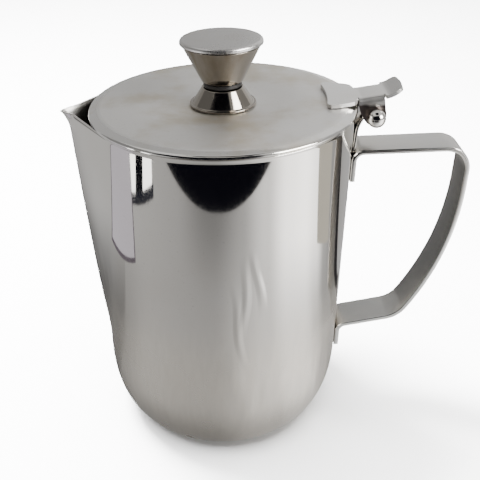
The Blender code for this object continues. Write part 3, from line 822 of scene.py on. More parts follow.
class Finishes:
    """Every finish of the pot, each built once."""

    def __init__(self) -> None:
        """Builds the materials."""
        self.wall = PolishedWall("polished wall", CLEAN_STEEL, roughness=0.05, spread=0.03,
                                 stain_share=0.25, pit_share=0.2).build()
        self.lid = EdgedDisc("satin lid", (0.68, 0.665, 0.64, 1.0), (0.54, 0.49, 0.40, 1.0),
                             roughness=0.5, spread=0.06, grain=700.0, stain_scale=34.0,
                             stain_share=0.95).build()
        self.strip = EdgedStrip("satin strip", (0.45, 0.445, 0.43, 1.0), roughness=0.34,
                                spread=0.05).build()
        self.fitting = SteelFinish("polished fitting", CLEAN_STEEL, roughness=0.12,
                                   spread=0.05).build()
        self.lever = BrownBelowFold("satin lever", (0.62, 0.61, 0.59, 1.0), spread=0.06).build()
        self.knob = SteelFinish("warm knob", (0.29, 0.263, 0.228, 1.0), (0.24, 0.215, 0.18, 1.0),
                                roughness=0.09, spread=0.05, stain_scale=60.0).build()
        self.cap = SteelFinish("satin cap", (0.56, 0.545, 0.525, 1.0), (0.5, 0.47, 0.43, 1.0),
                               spread=0.06, stain_scale=60.0, pit_share=0.1).build()
        self.screw = SteelFinish("plain screw", (0.55, 0.55, 0.55, 1.0), roughness=0.28).build()
        self.ring = BlackRing().build()


# ---- Placing ------------------------------------------------------------------------------------

def show(name: str, mesh: Mesh, node: str, body: Body) -> None:
    """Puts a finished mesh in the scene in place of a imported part.

    Args:
        name: the new piece's name.
        mesh: its mesh, in place and dressed.
        node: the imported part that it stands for.
        body: the body that it rides on.
    """
    mesh.name = name
    piece = add_object(name, mesh)
    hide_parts(node)
    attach(piece, body.value)
    LOG.info("%s: %d faces on %s", name, len(mesh.polygons), body.value)


def put_outwards(mesh: Mesh, sharp_deg: float) -> None:
    """Turns every face outwards, and keeps corners above an angle sharp.

    Args:
        mesh: the mesh to change.
        sharp_deg: the angle in degrees.
    """
    bm = bmesh.new()
    bm.from_mesh(mesh)
    bmesh.ops.remove_doubles(bm, verts=bm.verts, dist=MERGE_REACH)
    bmesh.ops.recalc_face_normals(bm, faces=bm.faces)
    bm.to_mesh(mesh)
    bm.free()
    mesh.shade_smooth()
    mesh.set_sharp_from_angle(angle=math.radians(sharp_deg))


@dataclass
class Layout:
    """Places that several sub-assemblies share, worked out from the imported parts."""

    hinge: Vector = field(init=False)
    body_radius: float = field(init=False)
    rim_height: float = field(init=False)

    def __post_init__(self) -> None:
        """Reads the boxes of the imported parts."""
        _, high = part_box("pot_body")
        self.body_radius = high[0]
        self.rim_height = high[2] - self.body_radius * math.tan(RIM_TILT)
        self.hinge = Vector(frame["joints"][0]["pos_m"])

    @property
    def tip(self) -> Matrix:
        """The turn that tips the level rim frame into its real place."""
        centre = Matrix.Translation((0.0, 0.0, self.rim_height))
        return centre @ Matrix.Rotation(-RIM_TILT, 4, "Y") @ centre.inverted()

    @property
    def level_hinge(self) -> Vector:
        """The hinge's place in the level rim frame."""
        return self.tip.inverted() @ self.hinge

    @property
    def lid_bottom(self) -> float:
        """Height of the lid's lower edge in the level rim frame."""
        return self.rim_height + FACE_GAP


@dataclass
class SubAssembly:
    """A group of pieces, with the places and the finishes that all groups share."""

    layout: Layout
    finishes: Finishes

    def turned(self, name: str, outline: Sequence[Point], node: str, material: Material,
               slot: str, segments: int = 96, place: Matrix | None = None) -> None:
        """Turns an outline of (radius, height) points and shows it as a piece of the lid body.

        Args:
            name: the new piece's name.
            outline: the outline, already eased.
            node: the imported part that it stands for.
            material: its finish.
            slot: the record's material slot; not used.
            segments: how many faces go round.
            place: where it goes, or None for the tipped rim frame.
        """
        inputs = [ShapeInput("Segments", segments, "NodeSocketInt")]
        tree = ShapeTree("turned piece", inputs, material, turned_steps)
        mesh = tree.bake([(radius, 0.0, height) for radius, height in outline], name)
        put_outwards(mesh, 40.0)
        mesh.transform(place or self.layout.tip)
        show(name, mesh, node, Body.LID)


# ---- Pot body -----------------------------------------------------------------------------------

def spaced(start: float, end: float, steps: int) -> list[float]:
    """Evenly spaced values after the start, up to the end."""
    return [start + (end - start) * step / steps for step in range(1, steps + 1)]


@dataclass
class PotBody(SubAssembly):
    """The drawn jug: one sheet, open at the top, with the spout pressed out of its wall."""

    wall: float = 0.8 * MM
    corner_width: float = 18.8 * MM
    corner_height: float = 34.0 * MM
    corner_power: float = 2.4
    corner_steps: int = 32
    floor_shares: tuple[float, ...] = (0.96, 0.5, 0.1)
    spout_reach: float = 9.5 * MM
    spout_depth: float = 105.0 * MM
    spout_fade: float = 0.7
    spout_steps: int = 48
    nose_top: float = 3.4 * MM
    nose_bottom: float = 7.0 * MM
    lip_reach: float = 2.6 * MM
    lip_depth: float = 8.0 * MM
    lip_half_width: float = 6.5 * MM
    lip_drop: float = 0.4 * MM
    lip_steps: int = 9
    bead: float = 0.25 * MM
    bead_height: float = 1.1 * MM
    bead_steps: int = 5
    rim_round: float = 0.35
    rim_steps: int = 6
    first_step_deg: float = 0.35
    last_step_deg: float = 2.0
    step_growth: float = 1.06

    def wall_radius(self, depth: float, off_spout: float, inset: float) -> float:
        """Distance of the wall from the axis.

        Args:
            depth: depth below the rim.
            off_spout: angle off the spout's middle.
            inset: how far inside the outer face.

        Returns:
            The distance.
        """
        radius = self.layout.body_radius - inset
        fall = depth / self.spout_depth
        if fall >= 1.0:
            return radius
        nose = self.nose_top + (self.nose_bottom - self.nose_top) * fall
        centre = self.layout.body_radius + self.spout_reach * (1.0 - fall) ** self.spout_fade - nose
        nose -= inset
        flank = math.acos((radius - nose) / centre)
        nose_end = math.atan2(nose * math.sin(flank), centre + nose * math.cos(flank))
        if off_spout >= flank:
            return radius
        if off_spout > nose_end:
            return radius / math.cos(flank - off_spout)
        across = centre * math.sin(off_spout)
        return centre * math.cos(off_spout) + math.sqrt(nose ** 2 - across ** 2)

    def wall_point(self, depth: float, angle: float, inset: float, lift: float = 0.0) -> Point3:
        """A point of the wall, with the spout's lip and the rim's fall added.

        Args:
            depth: depth below the rim.
            angle: angle round the pot.
            inset: how far inside the outer face.
            lift: extra height, for the rounded edge.

        Returns:
            The point.
        """
        off_spout = abs(math.pi - angle % (2 * math.pi))
        radius = self.wall_radius(depth, off_spout, inset)
        sideways = min(1.0, radius * math.sin(min(off_spout, math.pi / 2)) / self.lip_half_width)
        lip = (max(0.0, 1.0 - depth / self.lip_depth) ** 2
               * (0.5 + 0.5 * math.cos(math.pi * sideways)))
        bead = self.bead * max(0.0, 1.0 - (depth / self.bead_height) ** 2) * sideways
        radius += self.lip_reach * lip + bead
        x, y = radius * math.cos(angle), radius * math.sin(angle)
        fall = x * math.tan(RIM_TILT) * max(0.0, 1.0 - depth / self.spout_depth)
        return (x, y, self.layout.rim_height + fall - depth - self.lip_drop * lip + lift)

    def angles(self) -> list[float]:
        """Angles round the pot, closer together across the spout.

        Returns:
            The angles in radians.
        """
        half, angle, step = [0.0], 0.0, self.first_step_deg
        while angle + step < 179.0:
            angle += step
            half.append(angle)
            step = min(self.last_step_deg, step * self.step_growth)
        half = [value * 180.0 / (half[-1] + step) for value in half] + [180.0]
        whole = half + [360.0 - value for value in reversed(half[1:-1])]
        return [math.radians(180.0 + value) for value in whole]

    def side(self, inset: float, angles: Sequence[float]) -> list[list[Point3]]:
        """Rings of one face of the wall, from just below the rim down to the floor.

        Args:
            inset: how far inside the outer face.
            angles: the angles round the pot.

        Returns:
            The rings.
        """
        depths = (spaced(0.0, self.bead_height, self.bead_steps)
                  + spaced(self.bead_height, self.lip_depth, self.lip_steps)
                  + spaced(self.lip_depth, self.spout_depth, self.spout_steps))
        found = [[self.wall_point(depth, angle, inset) for angle in angles] for depth in depths]
        flat = self.layout.body_radius - self.corner_width
        circles = []
        for turn in spaced(0.0, 0.5 * math.pi, self.corner_steps):
            reach = max(0.0, math.cos(turn)) ** (2 / self.corner_power)
            drop = math.sin(turn) ** (2 / self.corner_power)
            circles.append((flat + (self.corner_width - inset) * reach,
                            self.corner_height - (self.corner_height - inset) * drop))
        circles += [(flat * share, inset) for share in self.floor_shares]
        return found + [[(radius * math.cos(angle), radius * math.sin(angle), height)
                         for angle in angles] for radius, height in circles]

    def rings(self) -> list[list[Point3]]:
        """Rings of points from the outside of the base, over the rim and down inside.

        Returns:
            The rings.
        """
        angles = self.angles()
        edge = []
        for turn in [0.0] + spaced(0.0, math.pi, self.rim_steps):
            inset = self.wall * (0.5 - 0.5 * math.cos(turn))
            lift = self.rim_round * self.wall * (math.sin(turn) - 1.0)
            edge.append([self.wall_point(0.0, angle, inset, lift) for angle in angles])
        return self.side(0.0, angles)[::-1] + edge + self.side(self.wall, angles)

    def build(self) -> None:
        """Makes the jug's mesh and shows it."""
        bm = bmesh.new()
        loops = [[bm.verts.new(point) for point in ring] for ring in self.rings()]
        count = len(loops[0])
        for one, two in zip(loops, loops[1:]):
            for index in range(count):
                after = (index + 1) % count
                bm.faces.new((one[index], one[after], two[after], two[index]))
        for loop, height in ((loops[0], 0.0), (loops[-1], self.wall)):
            middle = bm.verts.new((0.0, 0.0, height))
            for index in range(count):
                bm.faces.new((loop[index], loop[(index + 1) % count], middle))
        mesh = bpy.data.meshes.new("jug_wall")
        bm.to_mesh(mesh)
        bm.free()
        mesh.materials.append(self.finishes.wall)
        put_outwards(mesh, 50.0)
        show("jug_wall", mesh, "pot_body", Body.POT)


# ---- Handle and hinge bracket -------------------------------------------------------------------

@dataclass
class HandleSet(SubAssembly):
    """The strip handle and the strip that carries the hinge pin."""

    sheet: float = 2.0 * MM
    below_rim: float = 15.0 * MM
    top_rise_deg: float = 2.8
    corner_radius: float = 9.0 * MM
    upright: float = 7.0 * MM
    sweep_radius: float = 115.0 * MM
    sweep_deg: float = 31.0
    lower_radius: float = 12.0 * MM
    lower_fall_deg: float = 12.5
    root_radius: float = 4.0 * MM
    upper_tab: float = 8.5 * MM
    lower_tab: float = 7.2 * MM
    bracket_sheet: float = 1.2 * MM
    bracket_bend: float = 12.0 * MM
    bracket_rise_deg: float = 55.0
    bracket_wrap_deg: float = 262.0
    pin_radius: float = 1.4 * MM
    edge_share: float = 0.28
    fit_sheets: float = 2.2

    def strip(self, name: str, node: str, path: SheetPath, sheet: float, fit_below: float,
              material: Material, slot: str) -> None:
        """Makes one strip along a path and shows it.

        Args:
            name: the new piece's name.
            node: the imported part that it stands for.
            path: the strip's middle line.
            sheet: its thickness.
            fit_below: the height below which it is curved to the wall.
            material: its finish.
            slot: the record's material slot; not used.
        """
        low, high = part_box(node)
        inputs = [ShapeInput("Width", high[1] - low[1]), ShapeInput("Sheet", sheet),
                  ShapeInput("Edge Radius", self.edge_share * sheet),
                  ShapeInput("Wall Radius", self.layout.body_radius),
                  ShapeInput("Fit Reach", self.fit_sheets * sheet),
                  ShapeInput("Fit Below", fit_below)]
        line = [(across, 0.0, up) for across, up in path.points]
        mesh = ShapeTree("bent strip", inputs, material, strip_steps).bake(line, name)
        put_outwards(mesh, 20.0)
        show(name, mesh, node, Body.POT)

    def handle_path(self) -> SheetPath:
        """The middle line of the handle, from the upper tab round to the lower tab.

        Returns:
            The path.
        """
        _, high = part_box("handle")
        tab_x = self.layout.body_radius + FACE_GAP + self.sheet / 2
        top_z = self.layout.rim_height - self.below_rim - self.sheet / 2
        outer_x = high[0] - self.sheet / 2
        corner_turn, foot_turn = 90.0 + self.top_rise_deg, 90.0 - self.lower_fall_deg
        path = SheetPath(tab_x, top_z - self.root_radius - self.upper_tab, 90.0)
        path.straight(self.upper_tab).bend(self.root_radius, self.top_rise_deg - 90.0, 6.0)
        corner_x = bend_across(self.corner_radius, self.top_rise_deg, -corner_turn)
        path.straight_to_across(outer_x - corner_x)
        path.bend(self.corner_radius, -corner_turn).straight(self.upright)
        path.bend(self.sweep_radius, -self.sweep_deg, 1.0)
        path.bend(self.lower_radius, self.sweep_deg - foot_turn)
        foot_x = bend_across(self.root_radius, self.lower_fall_deg - 180.0, foot_turn)
        path.straight_to_across(tab_x - foot_x)
        return path.bend(self.root_radius, foot_turn, 6.0).straight(self.lower_tab)

    def bracket_path(self) -> tuple[SheetPath, float]:
        """The middle line of the hinge bracket.

        Returns:
            The path, and the height below which it lies on the wall.
        """
        roll = self.pin_radius + FACE_GAP + self.bracket_sheet / 2
        rise = math.radians(self.bracket_rise_deg)
        lean = 90.0 - self.bracket_rise_deg
        foot_x = self.layout.body_radius + FACE_GAP + self.bracket_sheet / 2
        roll_x = self.layout.hinge.x - roll * math.sin(rise)
        roll_z = self.layout.hinge.z + roll * math.cos(rise)
        run = roll_x - foot_x - bend_across(self.bracket_bend, 90.0, -lean)
        bend_z = roll_z - run * math.tan(rise) - self.bracket_bend * math.sin(math.radians(lean))
        low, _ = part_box("hinge_bracket")
        path = SheetPath(foot_x, low[2], 90.0).straight_to_up(bend_z)
        path.bend(self.bracket_bend, -lean).straight_to_across(roll_x)
        return path.bend(roll, -self.bracket_wrap_deg, 8.0), bend_z

    def build(self) -> None:
        """Makes both strips."""
        self.strip("handle_strip", "handle", self.handle_path(), self.sheet, self.layout.rim_height,
                   self.finishes.strip, "handle_steel")
        path, bend_z = self.bracket_path()
        self.strip("hinge_strip", "hinge_bracket", path, self.bracket_sheet, bend_z,
                   self.finishes.fitting, "hinge_steel")


# ---- Lid ----------------------------------------------------------------------------------------

@dataclass
class LidSet(SubAssembly):
    """The pressed lid, its thumb lever and the hinge pin with a ball at each end."""

    overhang: float = 0.8 * MM
    sheet: float = 1.0 * MM
    depth: float = 2.1 * MM
    flange_width: float = 4.2 * MM
    flange_drop: float = 0.9 * MM
    edge_radius: float = 0.7 * MM
    edge_ease: float = 0.25 * MM
    edge_blend: float = 5.0
    segments: int = 200
    dish: float = 1.5 * MM
    dish_radius: float = 36.0 * MM
    dish_start: float = 13.0 * MM
    dish_steps: int = 24
    bore: float = 2.2 * MM
    lever_width: float = 15.0 * MM
    lever_ease: float = 0.3 * MM
    lever_merge: float = 0.002 * MM
    lever_flat_deg: float = 0.8
    lever_corner_deg: float = 40.0
    pin_radius: float = 1.4 * MM
    ball_radius: float = 3.5 * MM
    ball_flat: float = 2.6 * MM
    ball_steps: int = 28
    pin_segments: int = 64
    socket_depth: float = 3.4 * MM

    @property
    def top(self) -> float:
        """Height of the lid's top near its edge, in the level rim frame."""
        return self.layout.lid_bottom + self.depth

    @property
    def knob_seat(self) -> float:
        """Height of the lid's top under the knob, in the level rim frame."""
        return self.top - self.dish

    def shell(self) -> None:
        """Makes the pressed lid."""
        slope = math.degrees(math.atan2(self.flange_drop, self.flange_width))
        radius = self.layout.body_radius + self.overhang
        edge = radius - self.sheet / 2
        path = SheetPath(self.bore, self.knob_seat - self.sheet / 2, 0.0)
        path.straight_to_across(self.dish_start)
        start, base = path.points[-1]
        for share in spaced(0.0, 1.0, self.dish_steps):
            path.points.append((start + (self.dish_radius - start) * share,
                                base + self.dish * (0.5 - 0.5 * math.cos(math.pi * share))))
        path.straight_to_across(radius - self.flange_width - self.edge_radius)
        path.bend(self.edge_blend * self.edge_radius, -slope)
        path.straight_to_across(edge - bend_across(self.edge_radius, -slope, slope - 90.0))
        path.bend(self.edge_radius, slope - 90.0, 8.0).straight_to_up(self.layout.lid_bottom)
        outline = eased(sheet_outline(path.points, self.sheet), self.edge_ease, Ends.CLOSED, 3)
        self.turned("lid_pressing", outline, "lid_shell", self.finishes.lid, "lid_steel",
                    self.segments)

    def lever(self) -> None:
        """Takes the folded lever's shape and eases its edges."""
        bm = bmesh.new()
        bm.from_mesh(frame["nodes"]["thumb_lever"].data)
        bmesh.ops.remove_doubles(bm, verts=bm.verts, dist=self.lever_merge)
        bmesh.ops.dissolve_limit(bm, angle_limit=math.radians(self.lever_flat_deg),
                                 verts=bm.verts, edges=bm.edges)
        mesh = bpy.data.meshes.new("folded_lever")
        bm.to_mesh(mesh)
        bm.free()
        mesh.materials.clear()
        mesh.materials.append(self.finishes.lever)
        holder = add_object("lever blank", mesh)
        ease = holder.modifiers.new("eased edges", "BEVEL")
        ease.width = self.lever_ease
        ease.segments = 3
        ease.limit_method = "ANGLE"
        ease.angle_limit = math.radians(self.lever_corner_deg)
        ease.harden_normals = True
        show("folded_lever", keep_evaluated(holder), "thumb_lever", Body.LID)

    def ball(self, centre: float, side: float) -> list[Point]:
        """Outline of a ball with one flat.

        Args:
            centre: the ball's centre along the pin.
            side: which way the round pole points.

        Returns:
            The (radius, height) points, from the flat to the pole.
        """
        start = math.acos(-self.ball_flat / self.ball_radius)
        turns = [start * (1.0 - step / self.ball_steps) for step in range(self.ball_steps)]
        pole = side * self.ball_radius
        arc = [(self.ball_radius * math.sin(turn), centre + pole * math.cos(turn))
               for turn in turns]
        return arc + [(0.0, centre + pole)]

    def pin(self) -> None:
        """Makes the pin and its two balls."""
        hinge = self.layout.level_hinge
        along_y = (self.layout.tip @ Matrix.Translation((hinge.x, 0.0, hinge.z))
                   @ Matrix.Rotation(math.radians(-90.0), 4, "X"))
        flat = self.lever_width / 2 + FACE_GAP
        centre, end = flat + self.ball_flat, flat + self.socket_depth
        shaft = [(0.0, end), (self.pin_radius, end), (self.pin_radius, -flat)]
        bore, floor = self.pin_radius + FACE_GAP, end + FACE_GAP
        socket = [(0.0, floor), (bore, floor), (bore, flat)]
        for name, node, outline in (
                ("round_pin", "hinge_pin", shaft + self.ball(-centre, -1.0)),
                ("far_ball", "pin_ball_cap", socket + self.ball(centre, 1.0))):
            self.turned(name, outline, node, self.finishes.fitting, "hinge_steel",
                        self.pin_segments, along_y)

    def build(self) -> None:
        """Makes the lid, the lever and the pin."""
        self.shell()
        self.lever()
        self.pin()


# ---- Knob ---------------------------------------------------------------------------------------

@dataclass
class Knob(SubAssembly):
    """Two cones with a black ring between them, a cap, and the screw that holds them."""

    lid: LidSet
    sheet: float = 0.8 * MM
    collar_radius: float = 12.7 * MM
    collar_flange: float = 1.2 * MM
    collar_height: float = 6.8 * MM
    collar_ease: float = 0.45 * MM
    neck_radius: float = 8.0 * MM
    ring_shrink: float = 0.7 * MM
    ring_height: float = 1.6 * MM
    ring_ease: float = 0.35 * MM
    cone_height: float = 13.8 * MM
    cone_top_radius: float = 14.7 * MM
    cone_ease: float = 0.55 * MM
    cap_radius: float = 15.5 * MM
    cap_skirt: float = 0.6 * MM
    cap_edge: float = 1.1 * MM
    cap_crown: float = 0.2 * MM
    crown_steps: int = 16
    cap_ease: float = 0.2 * MM
    cap_segments: int = 120
    bore: float = 2.2 * MM
    screw_radius: float = 1.9 * MM
    head_radius: float = 3.8 * MM
    head_height: float = 2.4 * MM
    head_rim: float = 1.0 * MM
    screw_ease: float = 0.2 * MM
    screw_segments: int = 64
    washer_radius: float = 5.0 * MM
    washer_height: float = 0.8 * MM
    washer_ease: float = 0.15 * MM
    nut_height: float = 3.2 * MM
    screw_end: float = 1.5 * MM

    def ring(self, radius: float, low: float, height: float, ease: float) -> list[Point]:
        """The eased outline of a flat ring round the bore."""
        high = low + height
        return eased([(self.bore, low), (radius, low), (radius, high), (self.bore, high)], ease,
                     Ends.CLOSED)

    def build(self) -> None:
        """Makes the knob from the lid upwards, then the pieces that hold it."""
        half, steel = self.sheet / 2, self.finishes.knob
        collar_z = self.lid.knob_seat + FACE_GAP
        collar_top = collar_z + self.collar_height
        collar = sheet_outline([(self.collar_radius, collar_z + half),
                                (self.collar_radius - self.collar_flange, collar_z + half),
                                (self.neck_radius - half, collar_top - half),
                                (self.bore, collar_top - half)], self.sheet)
        self.turned("lower_cone", eased(collar, self.collar_ease, Ends.CLOSED), "knob_collar",
                    steel, "knob_steel")

        ring_z = collar_top + FACE_GAP
        ring = self.ring(self.neck_radius - self.ring_shrink, ring_z, self.ring_height,
                         self.ring_ease)
        self.turned("neck_ring", ring, "neck_washer", self.finishes.ring, "black_plastic")

        cone_z = ring_z + self.ring_height + FACE_GAP
        cone_top = cone_z + self.cone_height
        cone = sheet_outline([(self.bore, cone_z + half), (self.neck_radius - half, cone_z + half),
                              (self.cone_top_radius - half, cone_top)], self.sheet)
        cone = [(radius, min(height, cone_top)) for radius, height in cone]
        self.turned("upper_cone", eased(cone, self.cone_ease, Ends.CLOSED), "knob_cone", steel,
                    "knob_steel")
        self.cap(cone_top + FACE_GAP)
        self.hold(cone_z + self.sheet + FACE_GAP)

    def cap(self, base: float) -> None:
        """Makes the cap.

        Args:
            base: height of its lower edge.
        """
        half = self.sheet / 2
        edge, bend = self.cap_radius - half, self.cap_edge - half
        shoulder = base + self.cap_skirt + bend
        flat = edge - bend
        shares = [step / self.crown_steps for step in range(self.crown_steps + 1)]
        crown = [(flat * share, shoulder + self.cap_crown * (1.0 - share ** 2)) for share in shares]
        turn_in = [(flat + bend * math.sin(turn), shoulder - bend + bend * math.cos(turn))
                   for turn in (math.radians(15.0 * step) for step in range(1, 7))]
        path = crown + turn_in + [(edge, base)]
        outer, inner = offset_path(path, half), offset_path(path, -half)
        outer[0], inner[0] = (0.0, outer[0][1]), (0.0, inner[0][1])
        outline = eased(outer + inner[::-1], self.cap_ease, Ends.ON_AXIS, 3)
        self.turned("cap_disc", outline, "knob_cap", self.finishes.cap, "cap_steel",
                    self.cap_segments)

    def hold(self, nut_z: float) -> None:
        """Makes the screw and its washer, and keeps the nut.

        Args:
            nut_z: height of the nut's lower face.
        """
        steel = self.finishes.screw
        low = self.lid.knob_seat - self.lid.sheet - FACE_GAP - self.washer_height
        washer = self.ring(self.washer_radius, low, self.washer_height, self.washer_ease)
        self.turned("under_washer", washer, "screw_washer", steel, "screw_steel",
                    self.screw_segments)
        seat = low - FACE_GAP
        tip = nut_z + self.nut_height + self.screw_end
        dome = [(self.head_radius * math.sin(turn),
                 seat - self.head_rim - (self.head_height - self.head_rim) * math.cos(turn))
                for turn in (math.radians(7.5 * step) for step in range(13))]
        screw = dome + [(self.head_radius, seat), (self.screw_radius, seat),
                        (self.screw_radius, tip), (0.0, tip)]
        self.turned("long_screw", eased(screw, self.screw_ease, Ends.ON_AXIS), "knob_screw", steel,
                    "screw_steel", self.screw_segments)
        for slot in frame["nodes"]["knob_nut"].material_slots:
            slot.material = steel
        LOG.info("knob_nut: kept, with %s", steel.name)


# ---- Studio -------------------------------------------------------------------------------------

BLACK = (0.004, 0.004, 0.008, 1.0)
GREY = (0.1, 0.1, 0.12, 1.0)
INK = (0.02, 0.022, 0.035, 1.0)
VIOLET = (0.17, 0.15, 0.18, 1.0)
SLATE = (0.035, 0.032, 0.035, 1.0)
OLIVE = (0.8, 0.765, 0.67, 1.0)
LAVENDER = (0.80, 0.77, 0.86, 1.0)
WHITE = (1.0, 1.0, 1.0, 1.0)


def level(height: float, *corners: Point) -> tuple[Point3, ...]:
    """Corners at one height above the table."""
    return tuple((x, y, height) for x, y in corners)


def oblong(height: float, low: Point, high: Point) -> tuple[Point3, ...]:
    """Corners of a level oblong."""
    return level(height, low, (high[0], low[1]), high, (low[0], high[1]))


def upright(low: float, high: float, one: Point, two: Point) -> tuple[Point3, ...]:
    """Corners of an upright panel above the line from one point to another."""
    return level(low, one, two) + level(high, two, one)


@dataclass(frozen=True)
class Card:
    """A flat glowing card, on the table or standing, that shows only in the pot's reflections."""

    name: str
    corners: tuple[Point3, ...]
    colour: Colour = BLACK
    strength: float = 1.0

    def shade(self, sketch: NodeSketch) -> Any:
        """The card's colour."""
        return self.colour

    def build(self) -> None:
        """Puts the card in its place."""
        mesh = bpy.data.meshes.new(self.name)
        mesh.from_pydata(list(self.corners), [], [tuple(range(len(self.corners)))])
        material, sketch = new_material(self.name)
        glow = sketch.add("ShaderNodeEmission", {"Color": self.shade(sketch),
                                                 "Strength": self.strength})
        sketch.add("ShaderNodeOutputMaterial", {"Surface": glow.outputs[0]})
        mesh.materials.append(material)
        card = add_object(self.name, mesh)
        card.visible_camera = False
        card.visible_diffuse = False
        card.visible_shadow = False


@dataclass(frozen=True)
class Surround(Card):
    """The cloth under the pot: its brightness changes with the direction from the pot.

    Each ramp holds (degrees, brightness) pairs, brightness as a share of the card's strength.
    """

    far: tuple[Point, ...] = ()
    near: tuple[Point, ...] = ()
    reach_span: Point = (0.11, 0.24)
    shadow_span: Point = (0.045, 0.085)
    shadow_share: float = 0.45
    patch_centre: Point3 = (-0.04, -0.29, 0.0)
    patch_span: Point = (0.03, 0.15)
    patch_share: float = 0.6

    def ramp(self, sketch: NodeSketch, turn: Socket, stops: tuple[Point, ...]) -> Socket:
        """A ramp of brightness over the direction.

        Args:
            sketch: the tree to add to.
            turn: the direction, as a share of a whole turn.
            stops: the ramp's pairs.

        Returns:
            The ramp's colour.
        """
        node = sketch.add("ShaderNodeValToRGB", {0: turn})
        elements = node.color_ramp.elements
        for index, (degrees, brightness) in enumerate(stops):
            share = (degrees + 180.0) / 360.0
            if index < 2:
                elements[index].position = share
            else:
                elements.new(share)
            elements[index].color = (brightness, brightness, brightness, 1.0)
        node.color_ramp.interpolation = "EASE"
        return node.outputs[0]

    def shade(self, sketch: NodeSketch) -> Socket:
        """The cloth's colour, from the direction, the distance and a soft dark patch in front.

        Args:
            sketch: the tree to add to.

        Returns:
            The colour.
        """
        place = sketch.add("ShaderNodeTexCoord").outputs["Object"]
        parts = sketch.split(place)
        angle = sketch.math("ARCTAN2", parts[1], parts[0])
        turn = sketch.math("ADD", sketch.math("DIVIDE", angle, 2.0 * math.pi), 0.5)
        reach = sketch.measure("LENGTH", place)
        out = sketch.map_range(reach, self.reach_span, smooth=True)
        both = sketch.mix_colour(out, self.ramp(sketch, turn, self.near),
                                 self.ramp(sketch, turn, self.far))
        off_patch = sketch.measure("DISTANCE", place, self.patch_centre)
        soft = sketch.map_range(off_patch, self.patch_span, (self.patch_share, 1.0), smooth=True)
        under = sketch.map_range(reach, self.shadow_span, (self.shadow_share, 1.0), smooth=True)
        return sketch.mix_colour(1.0, both, sketch.math("MULTIPLY", soft, under), "MULTIPLY")


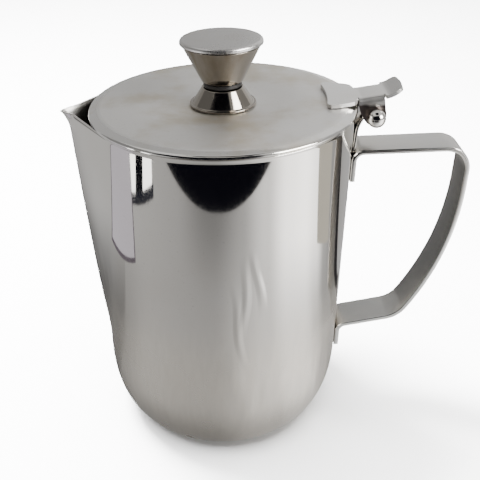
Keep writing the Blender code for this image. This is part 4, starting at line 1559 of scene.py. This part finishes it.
@dataclass
class Studio:
    """A white table, soft lamps, the cards that the polished steel reflects, and the camera."""

    half_floor: float = 3.0
    table_roughness: float = 0.8
    table_colour: Colour = (0.9, 0.9, 0.9, 1.0)
    room_colour: Colour = (0.6, 0.6, 0.6, 1.0)
    camera_place: Point3 = (0.62 * MM, -263.4 * MM, 236.6 * MM)
    camera_azimuth: float = math.radians(1.408)
    camera_down: float = math.radians(30.83)
    camera_roll: float = math.radians(0.78)
    lens_mm: float = 54.1

    def floor(self, height: float) -> tuple[Point3, ...]:
        """Corners of the whole floor at a height."""
        return oblong(height, (-self.half_floor,) * 2, (self.half_floor,) * 2)

    def table(self) -> None:
        """Makes the white table."""
        mesh = bpy.data.meshes.new("table")
        mesh.from_pydata(self.floor(-0.2 * MM), [], [(0, 1, 2, 3)])
        material = bpy.data.materials.new("white table")
        material.use_nodes = True
        shader = material.node_tree.nodes["Principled BSDF"]
        shader.inputs["Base Color"].default_value = self.table_colour
        shader.inputs["Roughness"].default_value = self.table_roughness
        mesh.materials.append(material)
        add_object("table", mesh)

    def lights(self) -> None:
        """Hangs the soft lamps that light the table, and sets the pale room."""
        for name, place, size, power in (("wide lamp", (-0.1, 0.1, 1.5), 2.2, 200.0),
                                         ("key lamp", (-0.34, 0.26, 0.95), 0.4, 110.0)):
            lamp = bpy.data.lights.new(name, "AREA")
            lamp.shape = "DISK"
            lamp.size = size
            lamp.energy = power
            light = add_object(name, lamp)
            light.location = place
            light.rotation_euler = (-Vector(place)).to_track_quat("-Z", "Y").to_euler()
            light.visible_glossy = False
        world = bpy.data.worlds.new("pale room")
        world.use_nodes = True
        world.node_tree.nodes["Background"].inputs[0].default_value = self.room_colour
        world.node_tree.nodes["Background"].inputs[1].default_value = 1.0
        bpy.context.scene.world = world

    def cloth(self) -> Surround:
        """The cloth under the pot.

        Returns:
            The cloth, with its two ramps.
        """
        far = ((-180, 0.14), (-98, 0.1), (-75, 0.14), (-55, 0.3), (-36, 0.74), (-20, 0.86),
               (-7, 0.66), (4, 0.16), (13, 0.1), (40, 0.12), (100, 0.03), (141, 0.03), (150, 0.14))
        near = ((-180, 0.08), (-150, 0.12), (-98, 0.105), (-55, 0.24), (-36, 0.34), (-20, 0.33),
                (-8, 0.2), (3, 0.11), (40, 0.12), (100, 0.03), (143, 0.025), (162, 0.045))
        return Surround("cloth", self.floor(-0.05 * MM), WHITE, 5.0, far=far, near=near)

    def cards(self) -> None:
        """Puts out what the steel reflects: the cloth below, and cards that lie or stand on it."""
        for card in (
                self.cloth(),
                Card("front dark", level(MM, (-0.25, -0.242), (-0.02, -0.267), (0.22, -0.275),
                                         (0.24, -0.9), (-0.3, -0.9))),
                Card("left pale", level(0.8 * MM, (-0.245, -0.153), (-0.6, -0.375), (-0.6, -0.02),
                                        (-0.27, -0.02)), WHITE, 4.5),
                Card("left dark bar", level(MM, (-0.6, -0.28), (-0.255, -0.108), (-0.265, -0.072),
                                            (-0.6, -0.2))),
                Card("left edge", level(1.2 * MM, (-0.232, -0.152), (-0.252, -0.165),
                                        (-0.276, -0.02), (-0.258, -0.02)), INK),
                Card("left column edge", level(1.3 * MM, (-0.176, -0.043), (-0.6, -0.09),
                                               (-0.6, 0.124), (-0.174, 0.066)), VIOLET),
                Card("left column", level(1.4 * MM, (-0.182, -0.04), (-0.6, -0.085), (-0.6, 0.12),
                                          (-0.18, 0.062)), LAVENDER),
                Card("right dark", level(MM, (0.10, 0.034), (0.6, 0.15), (0.6, 0.28),
                                         (0.08, 0.056)), SLATE),
                Card("right olive", level(0.8 * MM, (0.2, -0.02), (0.6, -0.08), (0.6, 0.1),
                                          (0.19, 0.035)), OLIVE),
                Card("left flank line", level(1.6 * MM, (-0.6, 0.46), (-0.2, 0.17), (-0.12, 0.17),
                                              (-0.6, 1.2)), GREY),
                Card("back left panel", upright(0.02, 1.6, (-1.6, 1.0), (-0.1, 1.3)), WHITE, 0.56),
                Card("back right panel", upright(0.02, 1.6, (0.1, 1.3), (1.6, 1.0)), WHITE, 1.2),
                Card("front panel", upright(0.05, 1.95, (-1.7, -1.1), (0.85, -1.38))),
                Card("left panel", upright(0.05, 2.0, (-1.9, 0.9), (-1.7, -1.1)), WHITE, 0.3),
                Card("window", upright(0.5, 1.3, (0.92, -0.92), (1.28, -0.25)), WHITE, 24.0),
                Card("ceiling", oblong(1.7, (-1.6, -1.2), (1.6, 1.0)), WHITE),
                Card("dark blind", oblong(1.2, (-0.34, -0.6), (0.34, 0.12)))):
            card.build()

    def camera(self) -> None:
        """Sets up the camera, turned a little and rolled a little."""
        turn = (Matrix.Rotation(-self.camera_azimuth, 4, "Z")
                @ Matrix.Rotation(math.pi / 2 - self.camera_down, 4, "X")
                @ Matrix.Rotation(self.camera_roll, 4, "Z"))
        lens = bpy.data.cameras.new("camera")
        lens.lens = self.lens_mm
        lens.clip_start = 0.01
        camera = add_object("camera", lens)
        camera.matrix_world = Matrix.Translation(self.camera_place) @ turn
        bpy.context.scene.camera = camera

    def build(self) -> None:
        """Makes the whole studio."""
        self.table()
        self.lights()
        self.cards()
        self.camera()


# ---- Assembly -----------------------------------------------------------------------------------


def main() -> None:
    """Builds the pot in order, then the studio round it."""
    logging.basicConfig(level=logging.INFO, format="%(name)s: %(message)s")
    layout = Layout()
    finishes = Finishes()
    lid = LidSet(layout, finishes)
    for part in (PotBody(layout, finishes), HandleSet(layout, finishes), lid,
                 Knob(layout, finishes, lid), Studio()):
        part.build()


if __name__ == "__main__":
    main()
